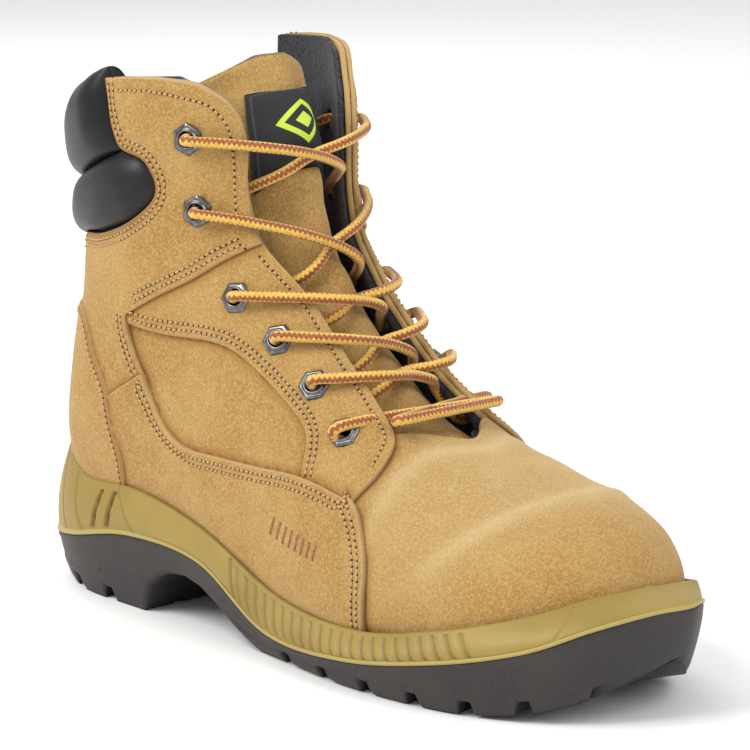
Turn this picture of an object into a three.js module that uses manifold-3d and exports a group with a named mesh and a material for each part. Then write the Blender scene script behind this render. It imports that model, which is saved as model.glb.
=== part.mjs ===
// A right-foot steel toe work boot: injected two-part sole, suede upper on a closed last shape,
// steel toe cap, padded collar, tongue, hexagonal eyelets and one lace.
// Millimetres. +X is the toe, +Z is up, and -Y is the outer (lateral) side of the foot.
import * as THREE from "three";
import { mergeVertices } from "three/addons/utils/BufferGeometryUtils.js";
import Module from "manifold-3d";

const wasm = await Module();
wasm.setup();

// ---------------------------------------------------------------- driving dimensions
const BOOT_LENGTH = 304; // outsole, toe to heel
const BALL_WIDTH = 113; // outsole across the ball of the foot
const SHAFT_HEIGHT = 194; // ground to the front of the shaft's top edge

const LEATHER = 2.0; // quarters and vamp
const OVERLAY = 1.8; // panels sewn over the quarters
const LINING = 1.2;
const CAP_STEEL = 1.7; // toe cap wall
const COUNTER = 1.4; // heel stiffener
const LAYER_GAP = 0.6; // glue and thread between two layers
const SEAM_GAP = 0.5; // between two panels that meet edge to edge
const CUT = 0.3; // running clearance of what is seated

const TREAD_DEPTH = 5;
const BOARD = 2.0; // insole board
const FOOTBED = 4.5;
const SHANK_LENGTH = 110;
const SHANK_WIDTH = 14;
const SHANK_STEEL = 1.4;

const TONGUE = 6.5; // padded tongue
const LACE_DIAMETER = 3.8;
const EYELET_ACROSS = 11; // hexagon, corner to corner
const EYELET_BORE = 6.4;
const EYELET_WALL = 0.7;
const EYELET_FLANGE = 1.2;
const ROLL_UPPER = 8; // how far the collar rolls stand out
const ROLL_LOWER = 6.5;
const AGLET_LENGTH = 18;
const AGLET_DIAMETER = 4.2;

// The tables below are drawn for this sample size and graded to the driving dimensions.
const SAMPLE = { length: 304, width: 113, height: 194 };
const alongX = BOOT_LENGTH / SAMPLE.length;
const alongY = BALL_WIDTH / SAMPLE.width;
const alongZ = SHAFT_HEIGHT / SAMPLE.height;

// ---------------------------------------------------------------- layers, from the skin inwards
const FACET_ROOM = 0.3 * Math.max(alongX, alongY, alongZ); // for the tight bends of heel and toe
const layerUnder = ([inner], thickness) => [inner - LAYER_GAP - thickness, inner - LAYER_GAP];
const BASE_LAYER = [-LEATHER, 0];
const OVER_LAYER = [LAYER_GAP, LAYER_GAP + OVERLAY];
const CAP_LAYER = layerUnder(BASE_LAYER, CAP_STEEL);
const COUNTER_LAYER = layerUnder([-LEATHER - FACET_ROOM], COUNTER);
const SHAFT_LINING_LAYER = layerUnder(BASE_LAYER, LINING);
const TOE_LINING_LAYER = layerUnder(CAP_LAYER, LINING);
const HEEL_LINING_LAYER = layerUnder(COUNTER_LAYER, LINING);

// ---------------------------------------------------------------- the last
// One section of the boot per row, from the toe (0) to the top of the shaft (20) and the
// tongue's top (21). A section is a plane across the boot that fans round from the toe,
// stands upright at the ball and lies level at the collar. Each row holds the front point's
// x and z, the back point's x and z, the outer and inner half widths, the share of the
// height where it is widest, how square its front and back are, and its sideways lean.
const LAST = [
  [132, 22, 84, 5, 42, 38, 0.06, 2.1, 2.6, 5],
  [133, 34, 84, 5, 43, 38.5, 0.1, 2.1, 2.6, 5],
  [131, 43.5, 84, 5, 44.5, 40, 0.15, 2.1, 2.6, 5],
  [125, 51.5, 83, 5, 46, 42.5, 0.21, 2.15, 2.6, 5],
  [115, 58, 81, 5, 48, 45.5, 0.26, 2.2, 2.6, 5],
  [101.5, 63.3, 79, 5, 49, 48, 0.31, 2.25, 2.6, 4.5],
  [85.5, 67.8, 75, 5, 49.5, 49.5, 0.34, 2.25, 2.6, 4],
  [67, 72, 61, 4, 50, 49.5, 0.345, 2.2, 2.6, 3],
  [48, 78.5, 44, 3, 50, 48.5, 0.34, 2.1, 2.6, 1.5],
  [33, 88, 26, 3, 49.5, 46.5, 0.33, 2.0, 2.6, 0.5],
  [20, 98.5, 5, 5, 47.5, 43, 0.335, 1.95, 2.6, 0],
  [8, 110, -22, 10, 45, 41, 0.35, 1.95, 2.5, 0],
  [-3, 122, -56, 17, 43, 40, 0.38, 1.95, 2.4, 0],
  [-12, 134, -95, 19, 41.5, 40, 0.43, 2.0, 2.3, 0],
  [-18, 146, -126, 22, 41, 40, 0.465, 2.0, 2.2, 0],
  [-21, 157, -139, 42, 41, 40.5, 0.48, 2.0, 2.1, 0],
  [-23, 167, -137, 68, 41, 40.5, 0.48, 2.05, 2.05, 0],
  [-24, 176, -132, 96, 40.5, 40.5, 0.48, 2.1, 2.0, 0],
  [-25, 184, -129, 125, 40.5, 40.5, 0.48, 2.1, 2.0, 0],
  [-26, 190, -129, 155, 41, 41, 0.48, 2.1, 2.0, 0],
  [-27, 194, -129, 184, 41.5, 41.5, 0.48, 2.1, 2.0, 0],
  [-28, 212, -129, 206, 42, 42, 0.48, 2.1, 2.0, 0],
];
const LAST_SCALE = [alongX, alongZ, alongX, alongZ, alongY, alongY, 1, 1, 1, alongY];
const TOP_SECTION = 20;
const THROAT_SECTION = 8.4; // where the vamp ends and the quarters begin

// Rows run as one smooth Catmull-Rom curve through all their columns.
function smoothRow(rows, at) {
  const last = rows.length - 1;
  const i = Math.min(Math.max(Math.floor(at), 0), last - 1);
  const f = at - i;
  return rows[0].map((_, k) => {
    const p1 = rows[i][k];
    const p2 = rows[i + 1][k];
    const p0 = i > 0 ? rows[i - 1][k] : 2 * p1 - p2;
    const p3 = i + 2 <= last ? rows[i + 2][k] : 2 * p2 - p1;
    const slope = p2 - p0;
    const bend = 2 * p0 - 5 * p1 + 4 * p2 - p3;
    const turn = -p0 + 3 * p1 - 3 * p2 + p3;
    return 0.5 * (2 * p1 + slope * f + bend * f * f + turn * f * f * f);
  });
}

// The skin: section and angle round it (0 at the front, minus on the outer side).
function skin(section, angle) {
  const row = smoothRow(LAST, section).map((value, k) => value * LAST_SCALE[k]);
  const [frontX, frontZ, backX, backZ, outer, inner, widest, squareFront, squareBack, lean] = row;
  const c = Math.cos(angle);
  const s = Math.sin(angle);
  const power = c >= 0 ? squareFront : squareBack;
  const radius = (Math.abs(s) ** power + Math.abs(c) ** power) ** (-1 / power);
  const share = widest + (c >= 0 ? 1 - widest : widest) * c * radius;
  return new THREE.Vector3(
    backX + (frontX - backX) * share,
    (s >= 0 ? inner : outer) * s * radius + lean * share,
    backZ + (frontZ - backZ) * share,
  );
}

// A point at a height above the skin, along its outward normal.
function above(section, angle, height) {
  const step = 1e-3;
  const across = skin(section, angle + step).sub(skin(section, angle - step));
  const along = skin(section + step, angle).sub(skin(section - step, angle));
  const normal = across.cross(along).normalize();
  return skin(section, angle).addScaledVector(normal, height);
}

// ---------------------------------------------------------------- solids
function solidFrom(points, faces) {
  const vertProperties = new Float32Array(points.flatMap((p) => [p.x, p.y, p.z]));
  const make = (list) =>
    new wasm.Manifold(
      new wasm.Mesh({ numProp: 3, vertProperties, triVerts: new Uint32Array(list.flat()) }),
    );
  const made = make(faces);
  return made.volume() > 0 ? made : make(faces.map(([a, b, c]) => [a, c, b]));
}

function solidOf(geometry) {
  geometry.deleteAttribute("normal");
  geometry.deleteAttribute("uv");
  const merged = mergeVertices(geometry, 1e-4);
  const position = merged.getAttribute("position");
  const points = Array.from({ length: position.count }, (_, i) =>
    new THREE.Vector3().fromBufferAttribute(position, i),
  );
  const index = Array.from(merged.index.array);
  return solidFrom(
    points,
    Array.from({ length: index.length / 3 }, (_, i) => index.slice(3 * i, 3 * i + 3)),
  );
}

function geometryOf(solid) {
  const { numProp, vertProperties, triVerts } = solid.getMesh();
  const position = new Float32Array((vertProperties.length / numProp) * 3);
  for (let i = 0; i < position.length / 3; i++)
    position.set(vertProperties.subarray(i * numProp, i * numProp + 3), i * 3);
  const geometry = new THREE.BufferGeometry();
  geometry.setAttribute("position", new THREE.BufferAttribute(position, 3));
  geometry.setIndex(new THREE.BufferAttribute(triVerts, 1));
  geometry.computeVertexNormals();
  return geometry;
}

// A sheet with a thickness: two grids of points, joined round their rims. A closed sheet
// runs round to its first column.
function thickSheet(topGrid, bottomGrid) {
  const rows = topGrid.length;
  const columns = topGrid[0].length;
  const points = [...topGrid.flat(), ...bottomGrid.flat()];
  const id = (side, r, c) => side * rows * columns + r * columns + c;
  const faces = [];
  const quad = (a, b, c, d) => faces.push([a, b, c], [a, c, d]);
  for (let r = 0; r + 1 < rows; r++)
    for (let c = 0; c + 1 < columns; c++) {
      quad(id(0, r, c), id(0, r + 1, c), id(0, r + 1, c + 1), id(0, r, c + 1));
      quad(id(1, r, c), id(1, r, c + 1), id(1, r + 1, c + 1), id(1, r + 1, c));
    }
  for (let r = 0; r + 1 < rows; r++) {
    quad(id(0, r, 0), id(1, r, 0), id(1, r + 1, 0), id(0, r + 1, 0));
    const c = columns - 1;
    quad(id(0, r, c), id(0, r + 1, c), id(1, r + 1, c), id(1, r, c));
  }
  for (let c = 0; c + 1 < columns; c++) {
    quad(id(0, 0, c), id(0, 0, c + 1), id(1, 0, c + 1), id(1, 0, c));
    const r = rows - 1;
    quad(id(0, r, c), id(1, r, c), id(1, r, c + 1), id(0, r, c + 1));
  }
  return solidFrom(points, faces);
}

// A layer of the upper over some sections. from(section) and to(section) are its edges as
// angles, and the layer is two heights, or a function of section and angle that gives them.
function upperLayer({ sections, from, to, columns, layer }) {
  const heights = typeof layer === "function" ? layer : () => layer;
  const grid = (side) =>
    sections.map((section) =>
      Array.from({ length: columns + 1 }, (_, c) => {
        const angle = from(section) + ((to(section) - from(section)) * c) / columns;
        return above(section, angle, heights(section, angle)[side]);
      }),
    );
  return thickSheet(grid(1), grid(0));
}

// The whole last as one solid, at a height over the skin.
function lastSolid(height, firstSection, lastSection) {
  const heightAt = typeof height === "function" ? height : () => height;
  const sections = [...WHOLE_SECTIONS.filter((s) => s > firstSection && s < lastSection)];
  const rings = [firstSection, ...sections, lastSection].map((section) =>
    Array.from({ length: LAST_SIDES }, (_, c) => {
      const angle = (2 * Math.PI * c) / LAST_SIDES;
      return above(section, angle, heightAt(section));
    }),
  );
  return ringSolid(rings);
}

// Closed rings of points joined one to the next, with a cap that zips across each end.
function ringSolid(rings) {
  const n = rings[0].length;
  const points = rings.flat();
  const faces = [];
  for (let r = 0; r + 1 < rings.length; r++)
    for (let c = 0; c < n; c++) {
      const d = (c + 1) % n;
      const [a, b, e, f] = [r * n + c, r * n + d, (r + 1) * n + d, (r + 1) * n + c];
      // The shorter diagonal, so that two rings that face each other are cut alike.
      const split = points[a].distanceTo(points[e]) < points[b].distanceTo(points[f]);
      faces.push(...(split ? [[a, b, e], [a, e, f]] : [[a, b, f], [b, e, f]]));
    }
  const top = (rings.length - 1) * n;
  for (let c = 0; c < n / 2; c++) {
    const far = (n - c) % n;
    const next = c + 1;
    const farNext = n - c - 1;
    if (c > 0) {
      faces.push([far, next, c], [top + c, top + next, top + far]);
    }
    if (next !== farNext) {
      faces.push([far, farNext, next], [top + next, top + farNext, top + far]);
    }
  }
  return solidFrom(points, faces);
}

// A side outline, [x, z] points of the sample size, as a smooth curve or straight pieces.
const graded = ([x, z]) => new THREE.Vector2(x * alongX, z * alongZ);
const straight = (...points) => points.map(graded);
const curved = (...points) =>
  new THREE.SplineCurve(points.map(graded)).getPoints(2 * (points.length - 1));

// An outline moved outwards all round.
function grown(outline, by) {
  const area = THREE.ShapeUtils.area(outline);
  return outline.map((p, i) => {
    const before = outline[(i + outline.length - 1) % outline.length];
    const after = outline[(i + 1) % outline.length];
    const along = after.clone().sub(before).normalize();
    return new THREE.Vector2(p.x + Math.sign(area) * along.y * by, p.y - Math.sign(area) * along.x * by);
  });
}

// A side outline carried across the boot, from one y to another.
const FAR_OUT = 90;
function across(outline, fromY, toY) {
  const geometry = new THREE.ExtrudeGeometry(new THREE.Shape(outline), {
    depth: toY - fromY,
    bevelEnabled: false,
    curveSegments: 1,
  });
  geometry.rotateX(Math.PI / 2);
  geometry.translate(0, toY, 0);
  return solidOf(geometry);
}
const throughBoot = (outline) => across(outline, -FAR_OUT, FAR_OUT);

// ---------------------------------------------------------------- the sole's lines
// From toe tip to heel: x, the outline's outer and inner y, then the heights of the tread,
// the line between outsole and midsole, the midsole's rim and the floor under the foot, and
// how far the rim stands in from the outline.
const SOLE = [
  [152, 0, 0, 20, 37.5, 42, 30, 10],
  [148.5, -13, 10, 16, 37, 41.5, 30, 9],
  [138, -30, 22, 9, 32.5, 40, 28, 6.5],
  [120, -44.5, 37, 3, 24, 34.5, 23, 4.5],
  [90, -55.5, 50.5, 0, 16.5, 27, 17, 3.5],
  [50, -58.5, 54.5, 0, 10, 19.5, 14, 3],
  [5, -52.5, 45, 0, 9, 22.5, 19, 3],
  [-35, -48, 41, 0, 25.5, 36.5, 26.5, 3],
  [-75, -46, 43, 0, 27.5, 43.5, 30, 3],
  [-110, -43, 42, 0, 21, 42, 31, 3],
  [-134, -31, 31, 0, 16.5, 47, 32, 3],
  [-147, -16, 16, 1, 14.5, 51, 32, 3],
  [-152, 0, 0, 2, 14.2, 52, 32, 3],
];
const SOLE_SCALE = [alongX, alongY, alongY, alongZ, alongZ, alongZ, alongZ, 1];
const SOLE_STEPS = 18; // along each side
const [TREAD, LINE, RIM, FLOOR] = [3, 4, 5, 6];
function soleRow(share) {
  const row = smoothRow(SOLE, share * (SOLE.length - 1)).map((value, k) => value * SOLE_SCALE[k]);
  row[TREAD] = Math.max(row[TREAD], 0);
  return row;
}

// The floor under the foot as a block to cut with, raised by an amount.
function floorBlock(raise) {
  const top = Array.from({ length: 2 * SOLE_STEPS + 1 }, (_, i) => {
    const row = soleRow(i / (2 * SOLE_STEPS));
    return new THREE.Vector2(row[0], row[FLOOR] + raise);
  });
  const [first, last] = [top[0], top.at(-1)];
  const depth = -30;
  return throughBoot([
    new THREE.Vector2(first.x + FAR_OUT, first.y),
    ...top,
    new THREE.Vector2(last.x - FAR_OUT, last.y),
    new THREE.Vector2(last.x - FAR_OUT, depth),
    new THREE.Vector2(first.x + FAR_OUT, depth),
  ]);
}

// The closed outline of the sole at some inset, with a height for each row.
function soleRing(inset, height) {
  const insetOf = typeof inset === "function" ? inset : () => inset;
  const edge = (share, side) => {
    const row = soleRow(share);
    return new THREE.Vector2(row[0], row[side]);
  };
  const pointOn = (share, side) => {
    const step = 1e-3;
    const row = soleRow(share);
    const ahead = edge(Math.max(share - step, 0), side);
    const behind = edge(Math.min(share + step, 1), side);
    const along = ahead.sub(behind).normalize();
    if (share === 0 || share === 1) along.set(0, side === 1 ? 1 : -1).multiplyScalar(share ? -1 : 1);
    const turn = side === 1 ? 1 : -1;
    const p = edge(share, side);
    const by = insetOf(row);
    return new THREE.Vector3(p.x - turn * along.y * by, p.y + turn * along.x * by, height(row));
  };
  const ring = [];
  for (let i = 0; i <= SOLE_STEPS; i++) ring.push(pointOn(i / SOLE_STEPS, 1));
  for (let i = SOLE_STEPS - 1; i > 0; i--) ring.push(pointOn(i / SOLE_STEPS, 2));
  return ring;
}

// ---------------------------------------------------------------- lattices of the upper
const VAMP_SECTIONS = [0, 1, 2, 3, 4, 5, 6, 7, 7.7, THROAT_SECTION];
const JOINT = 0.04; // of a section, between vamp and quarters
const QUARTER_SECTIONS = [
  THROAT_SECTION + JOINT, 9.2, 10.1, 11, 12, 13, 14, 14.75, 15.5, 16.25, 17.5, 18.75, TOP_SECTION,
];
const OVERLAY_SECTIONS = [7, 7.7, ...QUARTER_SECTIONS];
const WHOLE_SECTIONS = [...VAMP_SECTIONS, ...QUARTER_SECTIONS.slice(1)];
const LAST_SIDES = 24;
const QUARTER_COLUMNS = 8;
const VAMP_COLUMNS = 16;

// Half the throat as an angle: narrow over the instep, wider up the shaft.
const THROAT = [
  [0.2], [0.4], [0.41], [0.41], [0.42], [0.44], [0.5], [0.57], [0.61], [0.63], [0.65], [0.66], [0.7],
  [0.86],
];
const throatAngle = (section) =>
  smoothRow(THROAT, Math.min(Math.max((section - THROAT_SECTION) / 0.93, 0), THROAT.length - 1))[0];
const BACK_SEAM = Math.PI - 0.006;

// Both sides of the boot share one pattern: minus on the outer side, plus on the inner.
const SIDES = [
  { name: "lateral", sign: -1 },
  { name: "medial", sign: 1 },
];
const sideBlock = (outline, { sign }) =>
  sign < 0 ? across(outline, -FAR_OUT, 0) : across(outline, 0, FAR_OUT);

// One side of the shaft from the throat to the back seam, less some columns at the front.
function halfShell(side, sections, layer, columns = QUARTER_COLUMNS, skipped = 0) {
  const front = (section) => {
    const throat = throatAngle(section);
    return throat + ((BACK_SEAM - throat) * skipped) / columns;
  };
  return upperLayer({
    sections,
    from: (section) => side.sign * front(section),
    to: () => side.sign * BACK_SEAM,
    columns: columns - skipped,
    layer,
  });
}

// ---------------------------------------------------------------- panel outlines, side view
const BELOW = 5;
const PADS = [
  ...straight([-160, 230], [-88.5, 230]),
  ...curved([-88.5, 189.6], [-87.4, 179], [-84.2, 170.6], [-80, 166], [-70.4, 163], [-64.4, 157],
    [-64.9, 150.4], [-71.7, 144.6], [-82.7, 138.8], [-97.3, 135.2], [-128, 127]),
  ...straight([-160, 126]),
];
const HEEL_PATCH = [
  ...straight([-160, 104], [-105, 102]),
  ...curved([-93.7, 92.2], [-88.5, 78.6], [-83.5, 61], [-82.7, 43.9], [-84, BELOW]),
  ...straight([-160, BELOW]),
];
const SHAFT_PANEL = [
  ...straight([-160, 230], [10, 230], [-10, 136]),
  ...curved([-27.2, 136.7], [-49.6, 122.9], [-64, 115.4], [-78.7, 106.8]),
  ...curved([-75, 92], [-71, 82], [-69, 77]),
  ...straight([-84, 82.2], [-90, 78], [-160, 78]),
];
const EYESTAY = [
  ...curved([-22, 141], [-2, 127], [24, 108], [50, 92], [60, 82]),
  ...curved([47, 79], [43.5, 69], [40, 61.2], [42.5, 57]),
  ...straight([14.6, 60], [14.2, 65.4]),
  ...curved([11.1, 77.9], [1.6, 85.6], [-15.5, 95.3], [-31.7, 101.9], [-54.4, 102], [-77.6, 104]),
  ...straight([-82, 112], [-45, 135]),
];
const FOXING = [
  ...straight([-100, 76], [-84, 82.2], [-68, 74]),
  ...curved([-56.5, 66.8], [-37, 64.9], [-13, 65.5], [14.6, 64.6], [34.8, 63.6]),
  ...curved([43.1, 57], [50.6, 43.8], [52.1, 20.3], [52, BELOW]),
  ...straight([-100, BELOW]),
];

// ---------------------------------------------------------------- colours
const finish = (color, roughness, metalness = 0) =>
  new THREE.MeshStandardMaterial({ color, roughness, metalness });
const SUEDE = finish(0xd0a266, 0.95);
const SUEDE_DARK = finish(0xc1935a, 0.95);
const PADDING = finish(0x2b2b2d, 0.45);
const TEXTILE = finish(0x1d1d1f, 0.95);
const MIDSOLE = finish(0xb5a062, 0.6);
const RUBBER = finish(0x4b4543, 0.75);
const STEEL = finish(0x9a9c9f, 0.35, 1);
const GUNMETAL = finish(0x6b6c6f, 0.35, 1);
const BOARD_FIBRE = finish(0xb49c7c, 0.9);
const FOAM = finish(0x3a3d44, 0.9);
const LACE_YARN = finish(0xd8a63c, 0.9);
const CLEAR_TIP = finish(0xc99a4a, 0.3);
const LABEL_WEAVE = finish(0x1a1b1c, 0.9);

const boot = new THREE.Group();
function add(name, solid, material) {
  const mesh = new THREE.Mesh(geometryOf(solid), material);
  mesh.name = name;
  boot.add(mesh);
}

// ---------------------------------------------------------------- eyelets, named before the
// panels they pierce: section and angle of each, from the top of the shaft to the instep.
const EYELETS = [
  [18.25, 1.04], [16.17, 0.97], [13.45, 0.83], [12.07, 0.74], [10.82, 0.7], [9.59, 0.72],
];
const FLANGE_BASE = OVER_LAYER[1] + CUT;
const BARREL_FOOT = SHAFT_LINING_LAYER[0] - CUT;
const BARREL_RADIUS = EYELET_BORE / 2 + EYELET_WALL;
const ROUND = 8;
const PUNCH_REACH = 12;

// Where an eyelet sits: its centre on the skin and a turn that takes +Z to the outward normal.
function eyeletPlace([section, angle], { sign }) {
  const centre = above(section, sign * angle, 0);
  const normal = above(section, sign * angle, 1).sub(centre);
  const turn = new THREE.Quaternion().setFromUnitVectors(new THREE.Vector3(0, 0, 1), normal);
  return new THREE.Matrix4().compose(centre, turn, new THREE.Vector3(1, 1, 1));
}

// A round or hexagonal ring standing along +Z, between two heights.
function ring(outline, boreRadius, low, high) {
  const shape = new THREE.Shape(outline);
  shape.holes.push(new THREE.Path(circle(boreRadius)));
  const geometry = new THREE.ExtrudeGeometry(shape, {
    depth: high - low,
    bevelEnabled: false,
    curveSegments: 1,
  });
  return geometry.translate(0, 0, low);
}
function circle(radius, corners = ROUND) {
  return Array.from({ length: corners }, (_, i) => {
    const angle = (2 * Math.PI * (i + 0.5)) / corners;
    return new THREE.Vector2(radius * Math.cos(angle), radius * Math.sin(angle));
  });
}
const placed = (geometry, matrix) => solidOf(geometry.applyMatrix4(matrix));

function eyeletSolid(place) {
  const bore = EYELET_BORE / 2;
  const flange = ring(circle(EYELET_ACROSS / 2, 6), bore, FLANGE_BASE, FLANGE_BASE + EYELET_FLANGE);
  const barrel = ring(circle(BARREL_RADIUS), bore, BARREL_FOOT, FLANGE_BASE + EYELET_FLANGE / 2);
  return placed(flange, place).add(placed(barrel, place));
}

// The hole that a side's eyelets need in every layer of its flap.
function pierced(solid, side) {
  return EYELETS.reduce((left, eyelet) => {
    const punch = new THREE.ExtrudeGeometry(new THREE.Shape(circle(BARREL_RADIUS + CUT)), {
      depth: 2 * PUNCH_REACH,
      bevelEnabled: false,
      curveSegments: 1,
    }).translate(0, 0, -PUNCH_REACH);
    return left.subtract(placed(punch, eyeletPlace(eyelet, side)));
  }, solid);
}

// ---------------------------------------------------------------- sole
const WEB_INSET = 6; // the outsole's lip is this wide
const WEB_DROP = 4.5; // its web lies this far under the foot's floor
const TAPER = 5; // the outsole's wall leans in this far from its top line to the tread
const webHeight = (row) => Math.min(row[LINE], row[FLOOR] - WEB_DROP);

const ARCH = [
  ...straight([-72, -BELOW], [-70, 2]),
  ...curved([-66, 12], [-56, 18], [-45, 19], [-33, 15.5], [-18, 8], [-7, 3]),
  ...straight([-4, -BELOW]),
];
const FOREPART_GROOVES = [118, 97, 76, 55, 34, 13];
const HEEL_GROOVES = [-92, -112, -132];
const GROOVE_WIDTH = 5;
const CENTRE_RIB = 7; // half width of the tread's unbroken middle

function outsoleSolid() {
  let sole = ringSolid([
    soleRing(TAPER, (row) => row[TREAD]),
    soleRing(TAPER / 3, (row) => row[TREAD] + (row[LINE] - row[TREAD]) / 2),
    soleRing(0, (row) => row[LINE]),
    soleRing(WEB_INSET, webHeight),
  ]).subtract(throughBoot(ARCH));
  for (const x of [...FOREPART_GROOVES, ...HEEL_GROOVES])
    for (const { sign } of SIDES) {
      const length = FAR_OUT - CENTRE_RIB;
      const groove = new THREE.BoxGeometry(GROOVE_WIDTH, length, 2 * TREAD_DEPTH);
      groove.translate(x * alongX, sign * (CENTRE_RIB + length / 2), treadAt(x * alongX));
      sole = sole.subtract(solidOf(groove));
    }
  return sole;
}

// The tread's height at an x, found along the sole's rows.
function treadAt(x) {
  const shares = Array.from({ length: 101 }, (_, i) => i / 100);
  const rows = shares.map(soleRow);
  return rows.reduce((best, row) => (Math.abs(row[0] - x) < Math.abs(best[0] - x) ? row : best))[TREAD];
}

// How far the midsole's cavity stands off the skin: further where panels lie on the vamp.
const FOXING_FRONT = 7.1;
const OVERLAY_START = 6.7;
function cavityHeight(section) {
  const rise = Math.min(Math.max((section - OVERLAY_START) / (FOXING_FRONT - OVERLAY_START), 0), 1);
  return LAYER_GAP + FACET_ROOM + rise * (OVER_LAYER[1] + 3 * FACET_ROOM);
}

const SHANK_CENTRE = -40;
function shankBlock(clearance) {
  const half = SHANK_LENGTH / 2 + clearance;
  const steps = 8;
  const top = [];
  const bottom = [];
  for (let i = 0; i <= steps; i++) {
    const x = SHANK_CENTRE * alongX + half * (1 - (2 * i) / steps);
    const floor = floorAt(x);
    top.push(new THREE.Vector2(x, floor + (clearance ? 1 : -CUT)));
    bottom.unshift(new THREE.Vector2(x, floor - CUT - SHANK_STEEL - clearance));
  }
  const y = SHANK_WIDTH / 2 + clearance;
  return across([...top, ...bottom], -y, y);
}
function floorAt(x) {
  const share = Array.from({ length: 401 }, (_, i) => i / 400).reduce((best, s) =>
    Math.abs(soleRow(s)[0] - x) < Math.abs(soleRow(best)[0] - x) ? s : best,
  );
  return soleRow(share)[FLOOR];
}

function midsoleSolid() {
  const block = ringSolid([
    soleRing(WEB_INSET + 2 * CUT, (row) => webHeight(row) + CUT),
    soleRing(0.5, (row) => row[LINE] + CUT),
    soleRing((row) => 0.5 * row[7], (row) => 0.45 * row[LINE] + 0.55 * row[RIM]),
    soleRing((row) => row[7], (row) => row[RIM]),
  ]);
  const cavity = lastSolid(cavityHeight, 0, TOP_SECTION).subtract(floorBlock(0));
  return block.subtract(cavity).subtract(shankBlock(CUT));
}

add("outsole", outsoleSolid(), RUBBER);
add("midsole", midsoleSolid(), MIDSOLE);
add("shank", shankBlock(0), STEEL);

// ---------------------------------------------------------------- insole board and footbed
const aboveFloor = floorBlock(CUT);
const footSpace = TOE_LINING_LAYER[0] - LAYER_GAP - 2 * FACET_ROOM;
const footSolid = lastSolid(footSpace, 0.2, TOP_SECTION);
const boardSolid = footSolid.subtract(aboveFloor).intersect(floorBlock(CUT + BOARD));
add("insole_board", boardSolid, BOARD_FIBRE);
const footbedSpace = lastSolid(footSpace - CUT, 0.2, TOP_SECTION);
add(
  "footbed",
  footbedSpace
    .subtract(floorBlock(2 * CUT + BOARD))
    .intersect(floorBlock(2 * CUT + BOARD + FOOTBED)),
  FOAM,
);

// ---------------------------------------------------------------- toe
const roundVamp = { from: () => -Math.PI + 0.05, to: () => Math.PI - 0.05, columns: VAMP_COLUMNS };
const onFloor = (solid) => solid.subtract(aboveFloor);
const CAP_END = 5;
const STRIP = 0.35; // of a section, the edging strip behind the cap
add("vamp", onFloor(upperLayer({ ...roundVamp, sections: VAMP_SECTIONS, layer: BASE_LAYER })), SUEDE);
add(
  "steel_toe_cap",
  onFloor(upperLayer({ ...roundVamp, sections: [0, 1, 2, 3, 4, CAP_END], layer: CAP_LAYER })),
  STEEL,
);
add(
  "toe_cap_edging",
  onFloor(
    upperLayer({ ...roundVamp, sections: [CAP_END + JOINT / 2, CAP_END + STRIP], layer: CAP_LAYER }),
  ),
  TEXTILE,
);
add(
  "vamp_lining",
  onFloor(upperLayer({ ...roundVamp, sections: VAMP_SECTIONS, layer: TOE_LINING_LAYER })),
  TEXTILE,
);

// ---------------------------------------------------------------- quarters and their panels
const COUNTER_TOP = 16.25;
const LINING_SET_BACK = 2; // columns from the throat to behind the eyelets
const COUNTER_EDGE = 1.95; // angle of its front edge
// The quarter lining lies deeper where the counter stands behind it.
function quarterLining(section, angle) {
  const past = Math.abs(angle) - (COUNTER_EDGE - 0.7);
  const low = COUNTER_TOP + 1 - section;
  const depth = Math.min(Math.max(Math.min(past / 0.3, low), 0), 1);
  return SHAFT_LINING_LAYER.map((h, i) => h + depth * (HEEL_LINING_LAYER[i] - h));
}

// The panels ride a little higher where they pass on to the vamp.
const LAP_RISE = 1.2;
function overlayHeights(section) {
  const rise = section < THROAT_SECTION + 2 * JOINT ? LAP_RISE : 0;
  return OVER_LAYER.map((h) => h + rise);
}

for (const side of SIDES) {
  const padsHole = throughBoot(grown(PADS, SEAM_GAP));
  const quarter = halfShell(side, QUARTER_SECTIONS, BASE_LAYER).subtract(padsHole);
  add("quarter_" + side.name, pierced(onFloor(quarter), side), SUEDE_DARK);

  const lining = halfShell(side, QUARTER_SECTIONS, quarterLining, QUARTER_COLUMNS, LINING_SET_BACK);
  add("quarter_lining_" + side.name, onFloor(lining), TEXTILE);

  const sheet = onFloor(halfShell(side, OVERLAY_SECTIONS, overlayHeights)).subtract(padsHole);
  const heelHole = throughBoot(grown(HEEL_PATCH, SEAM_GAP));
  const shaft = sheet.intersect(sideBlock(SHAFT_PANEL, side)).subtract(heelHole);
  add("shaft_panel_" + side.name, pierced(shaft, side), SUEDE);

  const shaftHole = throughBoot(grown(SHAFT_PANEL, SEAM_GAP));
  const foxing = sheet
    .intersect(sideBlock(FOXING, side))
    .subtract(heelHole)
    .subtract(shaftHole);
  add("foxing_" + side.name, foxing, SUEDE);

  const eyestay = sheet
    .intersect(sideBlock(EYESTAY, side))
    .subtract(shaftHole)
    .subtract(throughBoot(grown(FOXING, SEAM_GAP)));
  add("eyestay_" + side.name, pierced(eyestay, side), SUEDE);
}

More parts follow.
